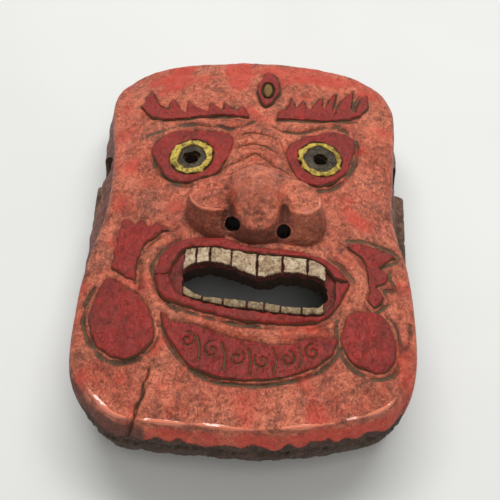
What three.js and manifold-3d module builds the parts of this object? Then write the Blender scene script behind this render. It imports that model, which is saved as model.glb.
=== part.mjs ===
// A carved wooden mask of a demon face, lying on its back: +Z out of the face, +Y towards the
// crown, +X to the viewer's right. Millimetres. The origin is on the table, under the middle of
// the mask. The carved block is the hollow shell; the painted reliefs are inlaid pieces, each in a
// pocket that follows the same outline and the same curved face, with a small gap all round.
import * as THREE from "three";
import { mergeVertices } from "three/addons/utils/BufferGeometryUtils.js";
import { ParametricGeometry } from "three/addons/geometries/ParametricGeometry.js";
import Module from "manifold-3d";

const wasm = await Module();
wasm.setup();

// ---- driving sizes ---------------------------------------------------------------------------
const MASK_WIDTH = 202; // across the jaw
const MASK_LENGTH = 277; // crown to chin
const MASK_DEPTH = 84; // back rim to the middle of the face
const FACE_WALL = 15; // wood between the face and the hollow behind it
const RIM_WIDTH = 14; // flat rim that rests on the table
const SIDE_WALL = 16; // wall half-way up
const GAP = 0.3; // between two pieces that touch

// how far the face falls from its middle to each edge, and where it bulges
const CHEEK_FALL = 17;
const CROWN_FALL = 20;
const CHIN_FALL = 11;
const MUZZLE_RISE = 7;
const EDGE_ROUND = 9; // height of the rounded edge between face and wall
const RIM_INSET = 5; // how far the wall leans in, from the edge down to the rim
const CHIN_UNDERCUT = 12; // the same at the chin, on top of RIM_INSET
const CHIN_WALL = 14; // straight part of the wall under the chin's edge

// inlaid reliefs
const INLAY_DEPTH = 3.2;
const BROW_RISE = 2.4;
const PATCH_RISE = 1.2;
const RING_RISE = 2.0;
const LIP_RISE = 2.6;
const TOOTH_RISE = 1.4;
const CHEEK_RISE = 2.0;
const BEARD_RISE = 1.6;
const JEWEL_RISE = 2.2;

const EYE_RING_OUTER = 13.5;
const EYE_RING_INNER = 9.5;
const PUPIL_RADIUS = 4.2;
const IRIS_RECESS = 1.0; // how far the iris lies below the face

const JEWEL_STONE_HALF_WIDTH = 3.2;
const JEWEL_STONE_HALF_LENGTH = 5.4;

const NOSE_HEIGHT = 31; // tip above the face
const NOSTRIL_RADIUS = 4.6;

const EAR_PROUD = 1.5; // how far an ear slab stands out past the jaw
const EAR_DEPTH = 24; // from its outer edge inwards, under the face's edge
const EAR_LENGTH = 53;
const EAR_BOTTOM = 10; // above the table
const EAR_THICKNESS = 34; // at its outer edge
const EAR_SLOPE = 12; // how much higher it is where it meets the face
const TIE_HOLE_RADIUS = 3.4;
const TIE_HOLE_DROP = 17.5; // below the edge of the face
const TIE_GOUGE_RADIUS = 9;

// ---- the carver's pattern: outlines drawn for this width and length, stretched to the mask ----
const PATTERN_WIDTH = 202;
const PATTERN_LENGTH = 277;
const ACROSS = MASK_WIDTH / PATTERN_WIDTH;
const ALONG = MASK_LENGTH / PATTERN_LENGTH;

const FACE_EDGE = [
  [88, 28], [90, 58], [92, 85], [91, 107], [82, 123], [64, 132], [33, 137], [-3, 138.5],
  [-40, 137], [-72, 133], [-89, 123], [-96, 106], [-94, 80], [-90, 55], [-89, 25], [-92, 0],
  [-98, -25], [-101, -55], [-101, -86], [-97, -103], [-87, -118], [-72, -130], [-46, -135],
  [-20, -137], [6, -138.5], [34, -135.5], [60, -129.5], [84, -119], [95, -104], [100, -84],
  [100, -55], [97, -25], [92, -6], [88, 12],
];
const BROW_LEFT = [
  [-74, 93], [-69, 85], [-61, 80], [-50, 78], [-36, 78], [-22, 79], [-6, 77], [-10, 90], [-15, 84],
  [-20, 90], [-25, 85], [-29, 92], [-35, 86], [-43, 94], [-48, 87], [-56, 100], [-61, 90], [-70, 106],
];
const BROW_RIGHT = [
  [14, 77], [30, 77.5], [44, 80], [57, 82], [66, 86], [72, 93], [74, 102], [71, 110], [66, 98],
  [62, 111], [56, 95], [52, 107], [46, 91], [42, 101], [37, 88], [32, 97], [28, 87], [23, 96], [18, 87],
];
const EYE_PATCH_LEFT = [
  [-63, 53], [-56, 59], [-44, 65], [-31, 67], [-18, 64], [-12, 57], [-14, 47], [-19, 36],
  [-24, 27], [-36, 24], [-47, 26], [-56, 33], [-60, 43],
];
const EYE_PATCH_RIGHT = [
  [21, 44], [22, 53], [30, 61], [42, 68], [50, 71], [58, 69], [62, 60], [62, 51], [58, 38],
  [50, 29], [39, 25], [29, 28], [23, 34],
];
const EYE_LEFT = [-38, 44];
const EYE_RIGHT = [42, 46];
const JEWEL = [[7, 124], [2, 113], [1, 103], [6, 88], [13, 97], [15.5, 107], [13, 117]];
const JEWEL_STONE = [8, 106];
const CHEEK_FLAME_LEFT = [
  [-77, 0], [-79, -10], [-80, -22], [-80, -33], [-72, -39], [-64, -45], [-65, -33], [-63, -23],
  [-60, -16], [-54, -13], [-46, -9], [-56, -3], [-61, -6], [-66, -1], [-71, -3],
];
const CHEEK_FLAME_RIGHT = [
  [58, -14], [67, -22], [71, -32], [71, -42], [70, -49], [74, -53], [79, -50], [81, -45], [76, -40],
  [81, -36], [84, -31], [77, -26], [83, -22], [88, -17], [80, -14], [68, -12],
];
const CHEEK_DISC_LEFT = [
  [-82, -39], [-88, -50], [-91, -62], [-88, -76], [-80, -86], [-69, -91], [-57, -88], [-51, -79],
  [-53, -67], [-60, -55], [-70, -47],
];
const CHEEK_DISC_RIGHT = [
  [61, -60], [57, -66], [55, -75], [57, -83], [64, -90], [75, -94], [84, -88], [87, -77],
  [85, -66], [79, -58], [70, -57],
];
const BEARD = [
  [-48, -65], [-44, -77], [-38, -87], [-31, -95], [-21, -100], [-10, -103.5], [8, -104], [24, -101],
  [38, -96], [47, -89], [52, -82], [52, -76], [38, -78], [25, -82.5], [7, -83], [-12, -79],
  [-23, -75], [-32, -72], [-41, -70],
];
// the lips' outer edge and the gum lines, each from the left corner to the right one
const UPPER_LIP_EDGE = [
  [-54, -39], [-51, -28], [-44, -20], [-34, -17], [-20, -17.5], [-10, -19], [-1, -23.5], [13, -24.5],
  [27, -24.5], [41, -26.5], [51, -31], [60, -39],
];
const UPPER_GUM = [
  [-45, -39], [-42, -31], [-36, -24.5], [-20, -24], [-8, -26.5], [7, -29], [22, -29], [36, -29],
  [46, -33], [51, -39],
];
const MOUTH_TOP = [
  [-37, -41], [-32, -36], [-22, -35], [-10, -38.5], [2, -44], [8, -45], [14, -44], [21, -41.5],
  [31, -40.5], [42, -41.5], [47, -46],
];
const MOUTH_BOTTOM = [
  [-37, -47], [-31, -53], [-22, -57], [-6, -59], [8, -60], [20, -61], [32, -61], [42, -59], [47, -53],
];
const LOWER_GUM = [
  [-45, -42], [-41, -51], [-35, -56], [-25, -60], [-12, -63.5], [0, -65], [20, -66.5], [32, -66],
  [45, -63.5], [51, -54], [51, -42],
];
const LOWER_LIP_EDGE = [
  [-54, -42], [-49, -54], [-40, -60], [-25, -65.5], [-10, -70], [3, -72], [23, -72], [38, -69.5],
  [47, -65], [53, -57], [57, -49], [60, -42],
];
const UPPER_TEETH_AT = [-37, -29.5, -21.5, -9, 6, 20.5, 35, 46]; // the splits between the teeth
const LOWER_TEETH_AT = [-36, -24.5, -12.5, 1, 11, 20, 32, 45];

const TIE_HOLE_AT = 53; // along the mask
const EAR_MIDDLE = 18;
const NOSE_AT = 4; // across the mask
const NOSTRILS = [[-9, -13], [21, -18]];

const FACE_RINGS = [0, 0.16, 0.32, 0.46, 0.6, 0.74, 0.86, 0.94];
const STEPS_ROUND = 56;
const FINEST = 0.04; // detail finer than this is left out of the meshes
const HIGH_ABOVE = MASK_DEPTH + 90;

// ---- finishes --------------------------------------------------------------------------------
function finish(color, roughness) {
  return new THREE.MeshStandardMaterial({ color, roughness, metalness: 0 });
}
const CORAL_PAINT = finish(0xc4604c, 0.55);
const DARK_RED_PAINT = finish(0x8f2622, 0.5);
const YELLOW_PAINT = finish(0xc9ab3c, 0.6);
const GOLD_PAINT = finish(0x9a7a2a, 0.5);
const DARK_IRIS = finish(0x3a342e, 0.6);
const TOOTH_PAINT = finish(0xb9a888, 0.65);
const BARE_WOOD = finish(0x6b4a3c, 0.8);

// ---- helpers ---------------------------------------------------------------------------------
// A closed three.js geometry as a solid: shared corners merged, collapsed triangles left out.
function solidOf(geometry) {
  geometry.deleteAttribute("normal");
  geometry.deleteAttribute("uv");
  const welded = mergeVertices(geometry, 1e-4);
  const corners = [];
  const index = welded.index.array;
  for (let i = 0; i < index.length; i += 3) {
    const [a, b, c] = [index[i], index[i + 1], index[i + 2]];
    if (a !== b && b !== c && c !== a) corners.push(a, b, c);
  }
  const vertProperties = new Float32Array(welded.attributes.position.array);
  const triVerts = new Uint32Array(corners);
  return new wasm.Manifold(new wasm.Mesh({ numProp: 3, vertProperties, triVerts }));
}

function meshOf(name, solid, material) {
  const { vertProperties, triVerts } = solid.simplify(FINEST).getMesh();
  const geometry = new THREE.BufferGeometry();
  geometry.setAttribute("position", new THREE.Float32BufferAttribute(vertProperties, 3));
  geometry.setIndex(Array.from(triVerts));
  geometry.computeVertexNormals();
  const mesh = new THREE.Mesh(geometry, material);
  mesh.name = name;
  return mesh;
}

function onPattern([x, y]) {
  return new THREE.Vector2(x * ACROSS, y * ALONG);
}

const faceEdge = new THREE.CatmullRomCurve3(
  FACE_EDGE.map(onPattern).map((p) => new THREE.Vector3(p.x, p.y, 0)), true, "centripetal");

// Height of the carved face above the table.
function faceHeight(x, y) {
  const px = x / ACROSS;
  const py = y / ALONG;
  const toCrown = Math.max(0, (py - 20) / 115);
  const toChin = Math.max(0, (-py - 55) / 82);
  const muzzle = Math.exp(-(((px - 4) / 48) ** 2) - ((py + 46) / 34) ** 2);
  return MASK_DEPTH - CHEEK_FALL * Math.abs(px / 95) ** 2.2 - CROWN_FALL * toCrown ** 2
    - CHIN_FALL * toChin ** 2 + MUZZLE_RISE * muzzle;
}

// A closed skin through rings of the face's edge. Each ring is [share of the edge's radius, inset
// from it in mm, height]; inset and height are numbers or functions of the edge point.
function ringSolid(rings) {
  const surface = (u, v, target) => {
    const [share, inset, height] = rings[Math.round(v * (rings.length - 1))];
    const edge = faceEdge.getPointAt(u % 1);
    const step = typeof inset === "function" ? inset(edge.x, edge.y) : inset;
    const scale = share * (1 - step / edge.length());
    const [x, y] = [edge.x * scale, edge.y * scale];
    target.set(x, y, typeof height === "function" ? height(x, y) : height);
  };
  return solidOf(new ParametricGeometry(surface, STEPS_ROUND, rings.length - 1));
}

// Everything between the carved face raised by `from` and by `to`, past the edge of the mask.
function faceLayer(from, to) {
  const shares = [...FACE_RINGS, 1, 1.1];
  const top = shares.map((s) => [s, 0, (x, y) => faceHeight(x, y) + to]);
  const bottom = shares.map((s) => [s, 0, (x, y) => faceHeight(x, y) + from]);
  return ringSolid([...bottom, ...top.reverse()]);
}

// An outline moved outwards by `by`, corner by corner along the mitre.
function grown(points, by) {
  const area = THREE.ShapeUtils.area(points);
  const turn = area > 0 ? 1 : -1;
  return points.map((p, i) => {
    const before = points[(i + points.length - 1) % points.length];
    const after = points[(i + 1) % points.length];
    const a = p.clone().sub(before).normalize();
    const b = after.clone().sub(p).normalize();
    const out = new THREE.Vector2(a.y + b.y, -a.x - b.x).normalize();
    const spread = Math.max(0.4, out.x * a.y - out.y * a.x);
    return p.clone().addScaledVector(out, (turn * by) / spread);
  });
}

function prism(points, from, to) {
  const shape = new THREE.Shape(points);
  const geometry = new THREE.ExtrudeGeometry(shape, { depth: to - from, bevelEnabled: false });
  geometry.translate(0, 0, from);
  return solidOf(geometry);
}

function rounded(points, steps) {
  const curve = new THREE.CatmullRomCurve3(
    points.map((p) => new THREE.Vector3(p.x, p.y, 0)), true, "centripetal");
  return curve.getPoints(steps).slice(0, -1).map((p) => new THREE.Vector2(p.x, p.y));
}

function ellipse([x, y], halfWidth, halfLength, steps) {
  const curve = new THREE.EllipseCurve(x, y, halfWidth, halfLength, 0, 2 * Math.PI);
  return curve.getPoints(steps).slice(0, -1);
}

function circle(centre, radius, steps = 28) {
  return ellipse(onPattern(centre).toArray(), radius, radius, steps);
}

function plate(points, rise) {
  return prism(points, 0, HIGH_ABOVE).intersect(faceLayer(-INLAY_DEPTH, rise));
}

function pocket(points) {
  return prism(grown(points, GAP), 0, HIGH_ABOVE).intersect(faceLayer(-INLAY_DEPTH - GAP, 40));
}

// The room that a relief and its gap take up above the pocket's floor, for what arches over it.
function reliefRoom(points, rise) {
  return prism(grown(points, GAP), 0, HIGH_ABOVE).intersect(faceLayer(-INLAY_DEPTH, rise + GAP));
}

// Height of an open line at x, straight between its points.
function lineAt(line, x) {
  const after = line.findIndex((p) => p.x > x);
  const i = after < 0 ? line.length - 2 : Math.max(0, after - 1);
  const [a, b] = [line[i], line[i + 1]];
  return a.y + ((b.y - a.y) * (x - a.x)) / (b.x - a.x);
}

// The stretch of an open line from x = from to x = to, moved along the mask by `by`.
function stretch(line, from, to, by) {
  const ends = [from, to].map((x) => new THREE.Vector2(x, lineAt(line, x) + by));
  const between = line.filter((p) => p.x > from + GAP && p.x < to - GAP);
  return [ends[0], ...between.map((p) => new THREE.Vector2(p.x, p.y + by)), ends[1]];
}

// ---- the carved block ------------------------------------------------------------------------
function rimInset(x, y) {
  const chin = Math.max(0, -y / (MASK_LENGTH / 2)) ** 4;
  return RIM_INSET + CHIN_UNDERCUT * chin;
}

// The block before it is hollowed; `grow` makes it bigger all round, to cut what sits against it.
function carvedBlock(grow) {
  const face = FACE_RINGS.map((share) => [share, 0, (x, y) => faceHeight(x, y) + grow]);
  const edge = [
    [1, 1.5 - grow, (x, y) => faceHeight(x, y) - EDGE_ROUND * 0.3 + grow],
    [1, -grow, (x, y) => faceHeight(x, y) - EDGE_ROUND + grow],
    [1, 1 - grow, (x, y) => faceHeight(x, y) - EDGE_ROUND - CHIN_WALL],
  ];
  const base = [[1, (x, y) => rimInset(x, y) - grow, -grow], [0, 0, -grow]];
  return ringSolid([...face, ...edge, ...base].reverse());
}

function hollow() {
  const roof = (x, y) => faceHeight(x, y) - FACE_WALL;
  const top = FACE_RINGS.slice(0, -2).map((share) => [share, 0, roof]);
  const sides = [
    [1, SIDE_WALL + 7, (x, y) => roof(x, y) - 6],
    [1, SIDE_WALL, (x, y) => roof(x, y) - 22],
    [1, (x, y) => rimInset(x, y) + RIM_WIDTH, 0],
    [1, (x, y) => rimInset(x, y) + RIM_WIDTH, -5],
    [0, 0, -5],
  ];
  return ringSolid([...top, ...sides].reverse());
}

const upperGum = UPPER_GUM.map(onPattern);
const lowerGum = LOWER_GUM.map(onPattern);
const mouthTop = MOUTH_TOP.map(onPattern);
const mouthBottom = MOUTH_BOTTOM.map(onPattern);

function mouthOpening() {
  return prism([...mouthBottom, ...mouthTop.slice().reverse()], 20, HIGH_ABOVE);
}

function drilled(centre, radius) {
  return prism(circle(centre, radius), 20, HIGH_ABOVE);
}

// A nostril leans back under the tip of the nose, into the hollow.
function nostril(at) {
  const mouth = onPattern(at);
  const start = new THREE.Vector3(mouth.x, mouth.y - 3, faceHeight(mouth.x, mouth.y) + 12);
  const drill = new THREE.CylinderGeometry(NOSTRIL_RADIUS, NOSTRIL_RADIUS, 70, 20);
  drill.translate(0, -35, 0);
  drill.rotateX(Math.PI / 2 + 0.42);
  drill.translate(start.x, start.y, start.z);
  return solidOf(drill);
}

// The gouged recess at ear height, and the hole for the cord at its bottom.
function tieHole(side) {
  const y = TIE_HOLE_AT * ALONG;
  const outside = (side * MASK_WIDTH) / 2;
  const height = faceHeight(outside * 0.88, y) - TIE_HOLE_DROP;
  const hole = new THREE.CylinderGeometry(TIE_HOLE_RADIUS, TIE_HOLE_RADIUS, MASK_WIDTH / 2, 20);
  hole.rotateZ(Math.PI / 2);
  hole.translate(outside * 0.9, y, height);
  const gouge = new THREE.SphereGeometry(TIE_GOUGE_RADIUS, 20, 12);
  gouge.translate(outside - side * 7, y, height);
  return solidOf(hole).add(solidOf(gouge));
}

// ---- the reliefs -----------------------------------------------------------------------------
const outlines = {
  brow_left: BROW_LEFT.map(onPattern),
  brow_right: BROW_RIGHT.map(onPattern),
  eye_patch_left: rounded(EYE_PATCH_LEFT.map(onPattern), 34),
  eye_patch_right: rounded(EYE_PATCH_RIGHT.map(onPattern), 34),
  forehead_petal: rounded(JEWEL.map(onPattern), 22),
  cheek_flame_left: CHEEK_FLAME_LEFT.map(onPattern),
  cheek_flame_right: CHEEK_FLAME_RIGHT.map(onPattern),
  cheek_disc_left: rounded(CHEEK_DISC_LEFT.map(onPattern), 30),
  cheek_disc_right: rounded(CHEEK_DISC_RIGHT.map(onPattern), 30),
  chin_beard: rounded(BEARD.map(onPattern), 44),
  upper_lip: [...upperGum, ...UPPER_LIP_EDGE.map(onPattern).reverse()],
  lower_lip: [...LOWER_LIP_EDGE.map(onPattern), ...lowerGum.slice().reverse()],
};

// One row of teeth between the gum line and the edge of the mouth, one outline for each tooth.
function teethRow(name, splits, gum, edge) {
  const teeth = {};
  for (let i = 0; i + 1 < splits.length; i += 1) {
    const left = splits[i] * ACROSS + GAP / 2;
    const right = splits[i + 1] * ACROSS - GAP / 2;
    const towards = Math.sign(lineAt(gum, left) - lineAt(edge, left));
    const atGum = stretch(gum, left, right, -GAP * towards);
    const atEdge = stretch(edge, left, right, (GAP / 2) * towards);
    teeth[`${name}_${i + 1}`] = [...atGum, ...atEdge.reverse()];
  }
  return teeth;
}
const upperTeeth = teethRow("upper_tooth", UPPER_TEETH_AT, upperGum, mouthTop);
const lowerTeeth = teethRow("lower_tooth", LOWER_TEETH_AT, lowerGum, mouthBottom);

function eyePatch(side, centre) {
  const patch = plate(outlines[`eye_patch_${side}`], PATCH_RISE);
  return patch.subtract(drilled(centre, EYE_RING_OUTER + GAP));
}

function eyeRing(centre) {
  const ring = plate(circle(centre, EYE_RING_OUTER), RING_RISE);
  return ring.subtract(drilled(centre, EYE_RING_INNER));
}

function iris(centre) {
  const disc = plate(circle(centre, EYE_RING_INNER - GAP), -IRIS_RECESS);
  return disc.subtract(drilled(centre, PUPIL_RADIUS));
}

function jewelStone(extra) {
  const at = onPattern(JEWEL_STONE).toArray();
  return ellipse(at, JEWEL_STONE_HALF_WIDTH + extra, JEWEL_STONE_HALF_LENGTH + extra, 20);
}

function ball(x, y, z, halfWidth, halfLength, halfHeight) {
  const sphere = new THREE.SphereGeometry(1, 16, 10);
  sphere.scale(halfWidth, halfLength, halfHeight);
  sphere.translate(x, y, z);
  return solidOf(sphere);
}

// Tip, bridge and two wings, seated on the face.
function nose() {
  const x = NOSE_AT * ACROSS;
  const seat = faceHeight(x, 0);
  const lift = NOSE_HEIGHT;
  const tip = ball(x, 2 * ALONG, seat + lift - 18, 17, 19, 18);
  const bridge = ball(x, 24 * ALONG, seat + lift * 0.12, 13, 29 * ALONG, lift * 0.5);
  const left = ball(x - 26, -3 * ALONG, seat + lift * 0.25, 15, 17, lift * 0.42);
  const right = ball(x + 26, -6 * ALONG, seat + lift * 0.25, 14.5, 17, lift * 0.42);
  const whole = tip.add(bridge).add(left).add(right).intersect(faceLayer(GAP, 80));
  return whole.subtract(reliefRoom(outlines.upper_lip, LIP_RISE))
    .subtract(reliefRoom(outlines.eye_patch_left, RING_RISE))
    .subtract(reliefRoom(outlines.eye_patch_right, RING_RISE));
}

// A slab of the ear: its section across the mask, run along it, flush against the block's wall.
function ear(side) {
  const top = EAR_BOTTOM + EAR_THICKNESS;
  const reach = MASK_WIDTH / 2 + EAR_PROUD;
  const inner = reach - EAR_DEPTH;
  const section = [
    [inner, EAR_BOTTOM], [reach - 3, EAR_BOTTOM], [reach, EAR_BOTTOM + 5],
    [reach, top - 3], [reach - 2, top], [inner, top + EAR_SLOPE],
  ];
  const shape = new THREE.Shape(section.map(([x, z]) => new THREE.Vector2(side * x, z)));
  const slab = new THREE.ExtrudeGeometry(shape, { depth: EAR_LENGTH, bevelEnabled: false });
  slab.rotateX(Math.PI / 2);
  slab.translate(0, EAR_MIDDLE * ALONG + EAR_LENGTH / 2, 0);
  return solidOf(slab).subtract(carvedBlock(GAP));
}

// ---- assembly --------------------------------------------------------------------------------
const drills = [drilled(EYE_LEFT, PUPIL_RADIUS), drilled(EYE_RIGHT, PUPIL_RADIUS)];
const nostrils = NOSTRILS.map(nostril);
const inlayOutlines = [...Object.values(outlines), ...Object.values(upperTeeth),
  ...Object.values(lowerTeeth)];

function maskShell() {
  let shell = carvedBlock(0).subtract(hollow());
  const cuts = [mouthOpening(), tieHole(-1), tieHole(1), ...drills, ...nostrils,
    ...inlayOutlines.map(pocket)];
  for (const cut of cuts) shell = shell.subtract(cut);
  return shell;
}

const mask = new THREE.Group();
mask.add(meshOf("mask_shell", maskShell(), CORAL_PAINT));
mask.add(meshOf("nose", nose().subtract(nostrils[0]).subtract(nostrils[1]), CORAL_PAINT));
mask.add(meshOf("brow_left", plate(outlines.brow_left, BROW_RISE), DARK_RED_PAINT));
mask.add(meshOf("brow_right", plate(outlines.brow_right, BROW_RISE), DARK_RED_PAINT));

const stoneHole = prism(jewelStone(GAP), 0, HIGH_ABOVE);
const petal = plate(outlines.forehead_petal, JEWEL_RISE).subtract(stoneHole);
mask.add(meshOf("forehead_petal", petal, DARK_RED_PAINT));
mask.add(meshOf("forehead_stone", plate(jewelStone(0), JEWEL_RISE), GOLD_PAINT));

for (const [side, centre] of [["left", EYE_LEFT], ["right", EYE_RIGHT]]) {
  mask.add(meshOf(`eye_patch_${side}`, eyePatch(side, centre), DARK_RED_PAINT));
  mask.add(meshOf(`eye_ring_${side}`, eyeRing(centre), YELLOW_PAINT));
  mask.add(meshOf(`iris_${side}`, iris(centre), DARK_IRIS));
}

mask.add(meshOf("upper_lip", plate(outlines.upper_lip, LIP_RISE), DARK_RED_PAINT));
mask.add(meshOf("lower_lip", plate(outlines.lower_lip, LIP_RISE), DARK_RED_PAINT));
for (const [name, outline] of Object.entries({ ...upperTeeth, ...lowerTeeth })) {
  mask.add(meshOf(name, plate(outline, TOOTH_RISE), TOOTH_PAINT));
}

for (const side of ["left", "right"]) {
  for (const name of [`cheek_flame_${side}`, `cheek_disc_${side}`]) {
    mask.add(meshOf(name, plate(outlines[name], CHEEK_RISE), DARK_RED_PAINT));
  }
}
mask.add(meshOf("chin_beard", plate(outlines.chin_beard, BEARD_RISE), DARK_RED_PAINT));
mask.add(meshOf("ear_left", ear(-1), BARE_WOOD));
mask.add(meshOf("ear_right", ear(1), BARE_WOOD));

export default mask;
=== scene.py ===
import math

import bpy
import numpy as np
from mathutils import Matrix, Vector


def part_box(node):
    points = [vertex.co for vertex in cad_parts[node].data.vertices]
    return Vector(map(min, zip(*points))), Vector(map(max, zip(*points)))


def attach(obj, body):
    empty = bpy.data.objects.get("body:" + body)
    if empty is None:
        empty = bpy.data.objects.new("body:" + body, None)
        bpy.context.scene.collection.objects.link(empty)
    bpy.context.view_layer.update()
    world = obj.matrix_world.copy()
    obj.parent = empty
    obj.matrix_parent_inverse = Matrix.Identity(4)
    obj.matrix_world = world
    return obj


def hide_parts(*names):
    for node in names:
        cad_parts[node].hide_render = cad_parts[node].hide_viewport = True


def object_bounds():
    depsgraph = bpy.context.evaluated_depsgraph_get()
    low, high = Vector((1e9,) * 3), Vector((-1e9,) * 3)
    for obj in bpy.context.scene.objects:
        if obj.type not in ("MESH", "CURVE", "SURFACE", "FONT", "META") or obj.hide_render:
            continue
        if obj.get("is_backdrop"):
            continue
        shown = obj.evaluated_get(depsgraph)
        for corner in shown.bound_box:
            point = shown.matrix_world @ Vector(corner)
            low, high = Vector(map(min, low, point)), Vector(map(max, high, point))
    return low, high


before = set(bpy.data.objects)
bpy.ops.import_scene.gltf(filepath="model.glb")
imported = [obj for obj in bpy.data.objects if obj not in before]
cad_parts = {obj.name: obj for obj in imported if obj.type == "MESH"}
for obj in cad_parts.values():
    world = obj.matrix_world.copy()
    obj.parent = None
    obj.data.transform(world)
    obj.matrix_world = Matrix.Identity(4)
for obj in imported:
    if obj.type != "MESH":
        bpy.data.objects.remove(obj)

CAD_LOW, CAD_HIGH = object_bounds()

# ==== The face's curve =========================================================================
# The mask is one block of wood, carved with adze and knife to a shallow dome that falls away to
# the crown, the cheeks and the chin. Every relief on it is cut to this curve, so it comes first.
DRAWN_LOW = np.array([-102.5, -138.5, 0.0])    # mm: the box that the carver's pattern is drawn in
DRAWN_SIZE = np.array([205.0, 277.0, 116.1])
TO_DRAWN = DRAWN_SIZE / np.array(CAD_HIGH - CAD_LOW)
FACE_MIDDLE = 84.0
SHARP = 45             # degrees: an edge that turns more than this stays sharp
STROKE_WEAR = 0.72     # how far a stroke cut in a relief is worn to the wood
BED = 2.8              # how deep the bed under a relief is cut
CHEEK_FALL, CROWN_FALL, CHIN_FALL, MUZZLE_RISE = 17.0, 20.0, 11.0, 7.0


def face_height(x, y):
    """Height of the plain face: the middle's, less a rounded fall to each side, a square-law fall
    above the eyes and another below the mouth, plus a wide bell under the mouth."""
    to_crown = np.maximum(0, (y - 20) / 115)
    to_chin = np.maximum(0, (-y - 55) / 82)
    muzzle = np.exp(-((x - 4) / 48) ** 2 - ((y + 46) / 34) ** 2)
    return (FACE_MIDDLE - CHEEK_FALL * np.abs(x / 95) ** 2.2 - CROWN_FALL * to_crown ** 2
            - CHIN_FALL * to_chin ** 2 + MUZZLE_RISE * muzzle)


def ripple(x, y, size, seed, waves=16):
    """Smooth unevenness, mostly between -1 and 1: the sum of plane waves in random directions,
    each about `size` mm long."""
    rng = np.random.default_rng(seed)
    total = np.zeros(np.shape(x))
    for turn, start, stretch in rng.uniform((0, 0, 0.6), (math.tau, math.tau, 1.8), (waves, 3)):
        run = (x * math.cos(turn) + y * math.sin(turn)) * math.tau / (size * stretch)
        total += np.sin(run + start)
    return total * 1.1 / math.sqrt(waves)


def step_up(value, low, high):
    """0 up to `low`, 1 from `high`, and a smooth S between them."""
    t = np.clip((value - low) / (high - low), 0, 1)
    return t * t * (3 - 2 * t)


def smooth_line(points, closed=True, steps=6):
    """A line that bends smoothly through the points: a Catmull-Rom cubic between each two."""
    p = np.asarray(points, float)
    if closed:
        before, a, b, after = (np.roll(p, n, 0) for n in (1, 0, -1, -2))
    else:
        longer = np.vstack([2 * p[0] - p[1], p, 2 * p[-1] - p[-2]])
        before, a, b, after = longer[:-3], longer[1:-2], longer[2:-1], longer[3:]
    before, a, b, after = (q[:, None] for q in (before, a, b, after))
    t = (np.arange(steps) / steps)[None, :, None]
    line = (a + 0.5 * t * (b - before) + 0.5 * t ** 2 * (2 * before - 5 * a + 4 * b - after)
            + 0.5 * t ** 3 * (3 * a - 3 * b + after - before)).reshape(-1, 2)
    return line if closed else np.vstack([line, p[-1:]])


def hand_cut(line, amount, size, seed):
    """The line as a hand cuts it: each point strays by up to `amount` mm."""
    x, y = line[:, 0], line[:, 1]
    stray = np.stack([ripple(x, y, size, seed), ripple(x, y, size, seed + 1)], 1)
    return line + amount * stray


def nearest(points, line, closed=True):
    """For each point, the nearest point of a line made of straight pieces."""
    a = line if closed else line[:-1]
    b = np.roll(line, -1, 0) if closed else line[1:]
    run = b - a
    off = points[:, None] - a
    t = np.clip((off * run).sum(-1) / np.maximum((run ** 2).sum(-1), 1e-9), 0, 1)
    foot = a + t[..., None] * run
    best = ((points[:, None] - foot) ** 2).sum(-1).argmin(1)
    return foot[np.arange(len(points)), best]


def distance_to(x, y, line, closed=True, reach=14.0):
    """Distance in mm from each point to the line, negative inside a closed one. Points more than
    `reach` outside its box all read `reach`."""
    px, py = np.ravel(x), np.ravel(y)
    found = np.full(px.size, float(reach))
    low, high = line.min(0) - reach, line.max(0) + reach
    near = np.flatnonzero((px > low[0]) & (px < high[0]) & (py > low[1]) & (py < high[1]))
    for some in np.array_split(near, max(1, near.size * len(line) // 2_000_000)):
        p = np.stack([px[some], py[some]], 1)
        d = np.linalg.norm(p - nearest(p, line, closed), axis=1)
        if closed:
            (ax, ay), (bx, by) = line.T, np.roll(line, -1, 0).T
            row = p[:, 1:]
            rise = np.where(by == ay, 1e-9, by - ay)
            crossed = ((ay > row) != (by > row)) & (p[:, :1] < ax + (bx - ax) * (row - ay) / rise)
            d = np.where(crossed.sum(1) % 2 == 1, -d, d)
        found[some] = np.minimum(d, reach)
    return found.reshape(np.shape(x))


def drawn(points):
    """Points in the frame's metres as points in the pattern's millimetres."""
    return (np.array(points) - np.array(CAD_LOW)) * TO_DRAWN + DRAWN_LOW


def points_of(mesh):
    """The mesh's points, one row each."""
    found = np.zeros(len(mesh.vertices) * 3)
    mesh.vertices.foreach_get("co", found)
    return found.reshape(-1, 3)


def place(name, data):
    """A new object in the scene."""
    made = bpy.data.objects.new(name, data)
    bpy.context.scene.collection.objects.link(made)
    return made


def set_marks(mesh, **marks):
    """Writes one number for each point of the mesh under each mark's name."""
    for mark, values in marks.items():
        layer = mesh.attributes.new(mark, "FLOAT", "POINT")
        layer.data.foreach_set("value", np.asarray(values, np.float32))


def put_mesh(name, points, faces, materials=(), **marks):
    """Makes the piece's object from points in the pattern's millimetres, and marks it."""
    scale = np.array(CAD_HIGH - CAD_LOW) / DRAWN_SIZE
    mesh = bpy.data.meshes.new(name)
    mesh.from_pydata((points - DRAWN_LOW) * scale + np.array(CAD_LOW), [], faces)
    set_marks(mesh, **marks)
    for material in materials:
        mesh.materials.append(material)
    mesh.shade_smooth()
    mesh.set_sharp_from_angle(angle=math.radians(SHARP))
    return place(name, mesh)


cuts = []          # what each piece asks the block to be carved with: see the carved block, below


def cut_bed(line, width, depth, floor, raw):
    """A groove round a closed line, and inside it a bed `floor` deep for the relief to lie in.
    `raw` is how much bare wood shows in the groove."""
    cuts.append((line, width, depth, True, floor, raw))


def cut_lines(*grooves):
    """Open grooves, each with its points, width, depth and how much bare wood shows in it. A
    negative depth leaves a ridge."""
    for points, width, depth, raw in grooves:
        cuts.append((smooth_line(points, False), width, depth, False, depth, raw))


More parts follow.
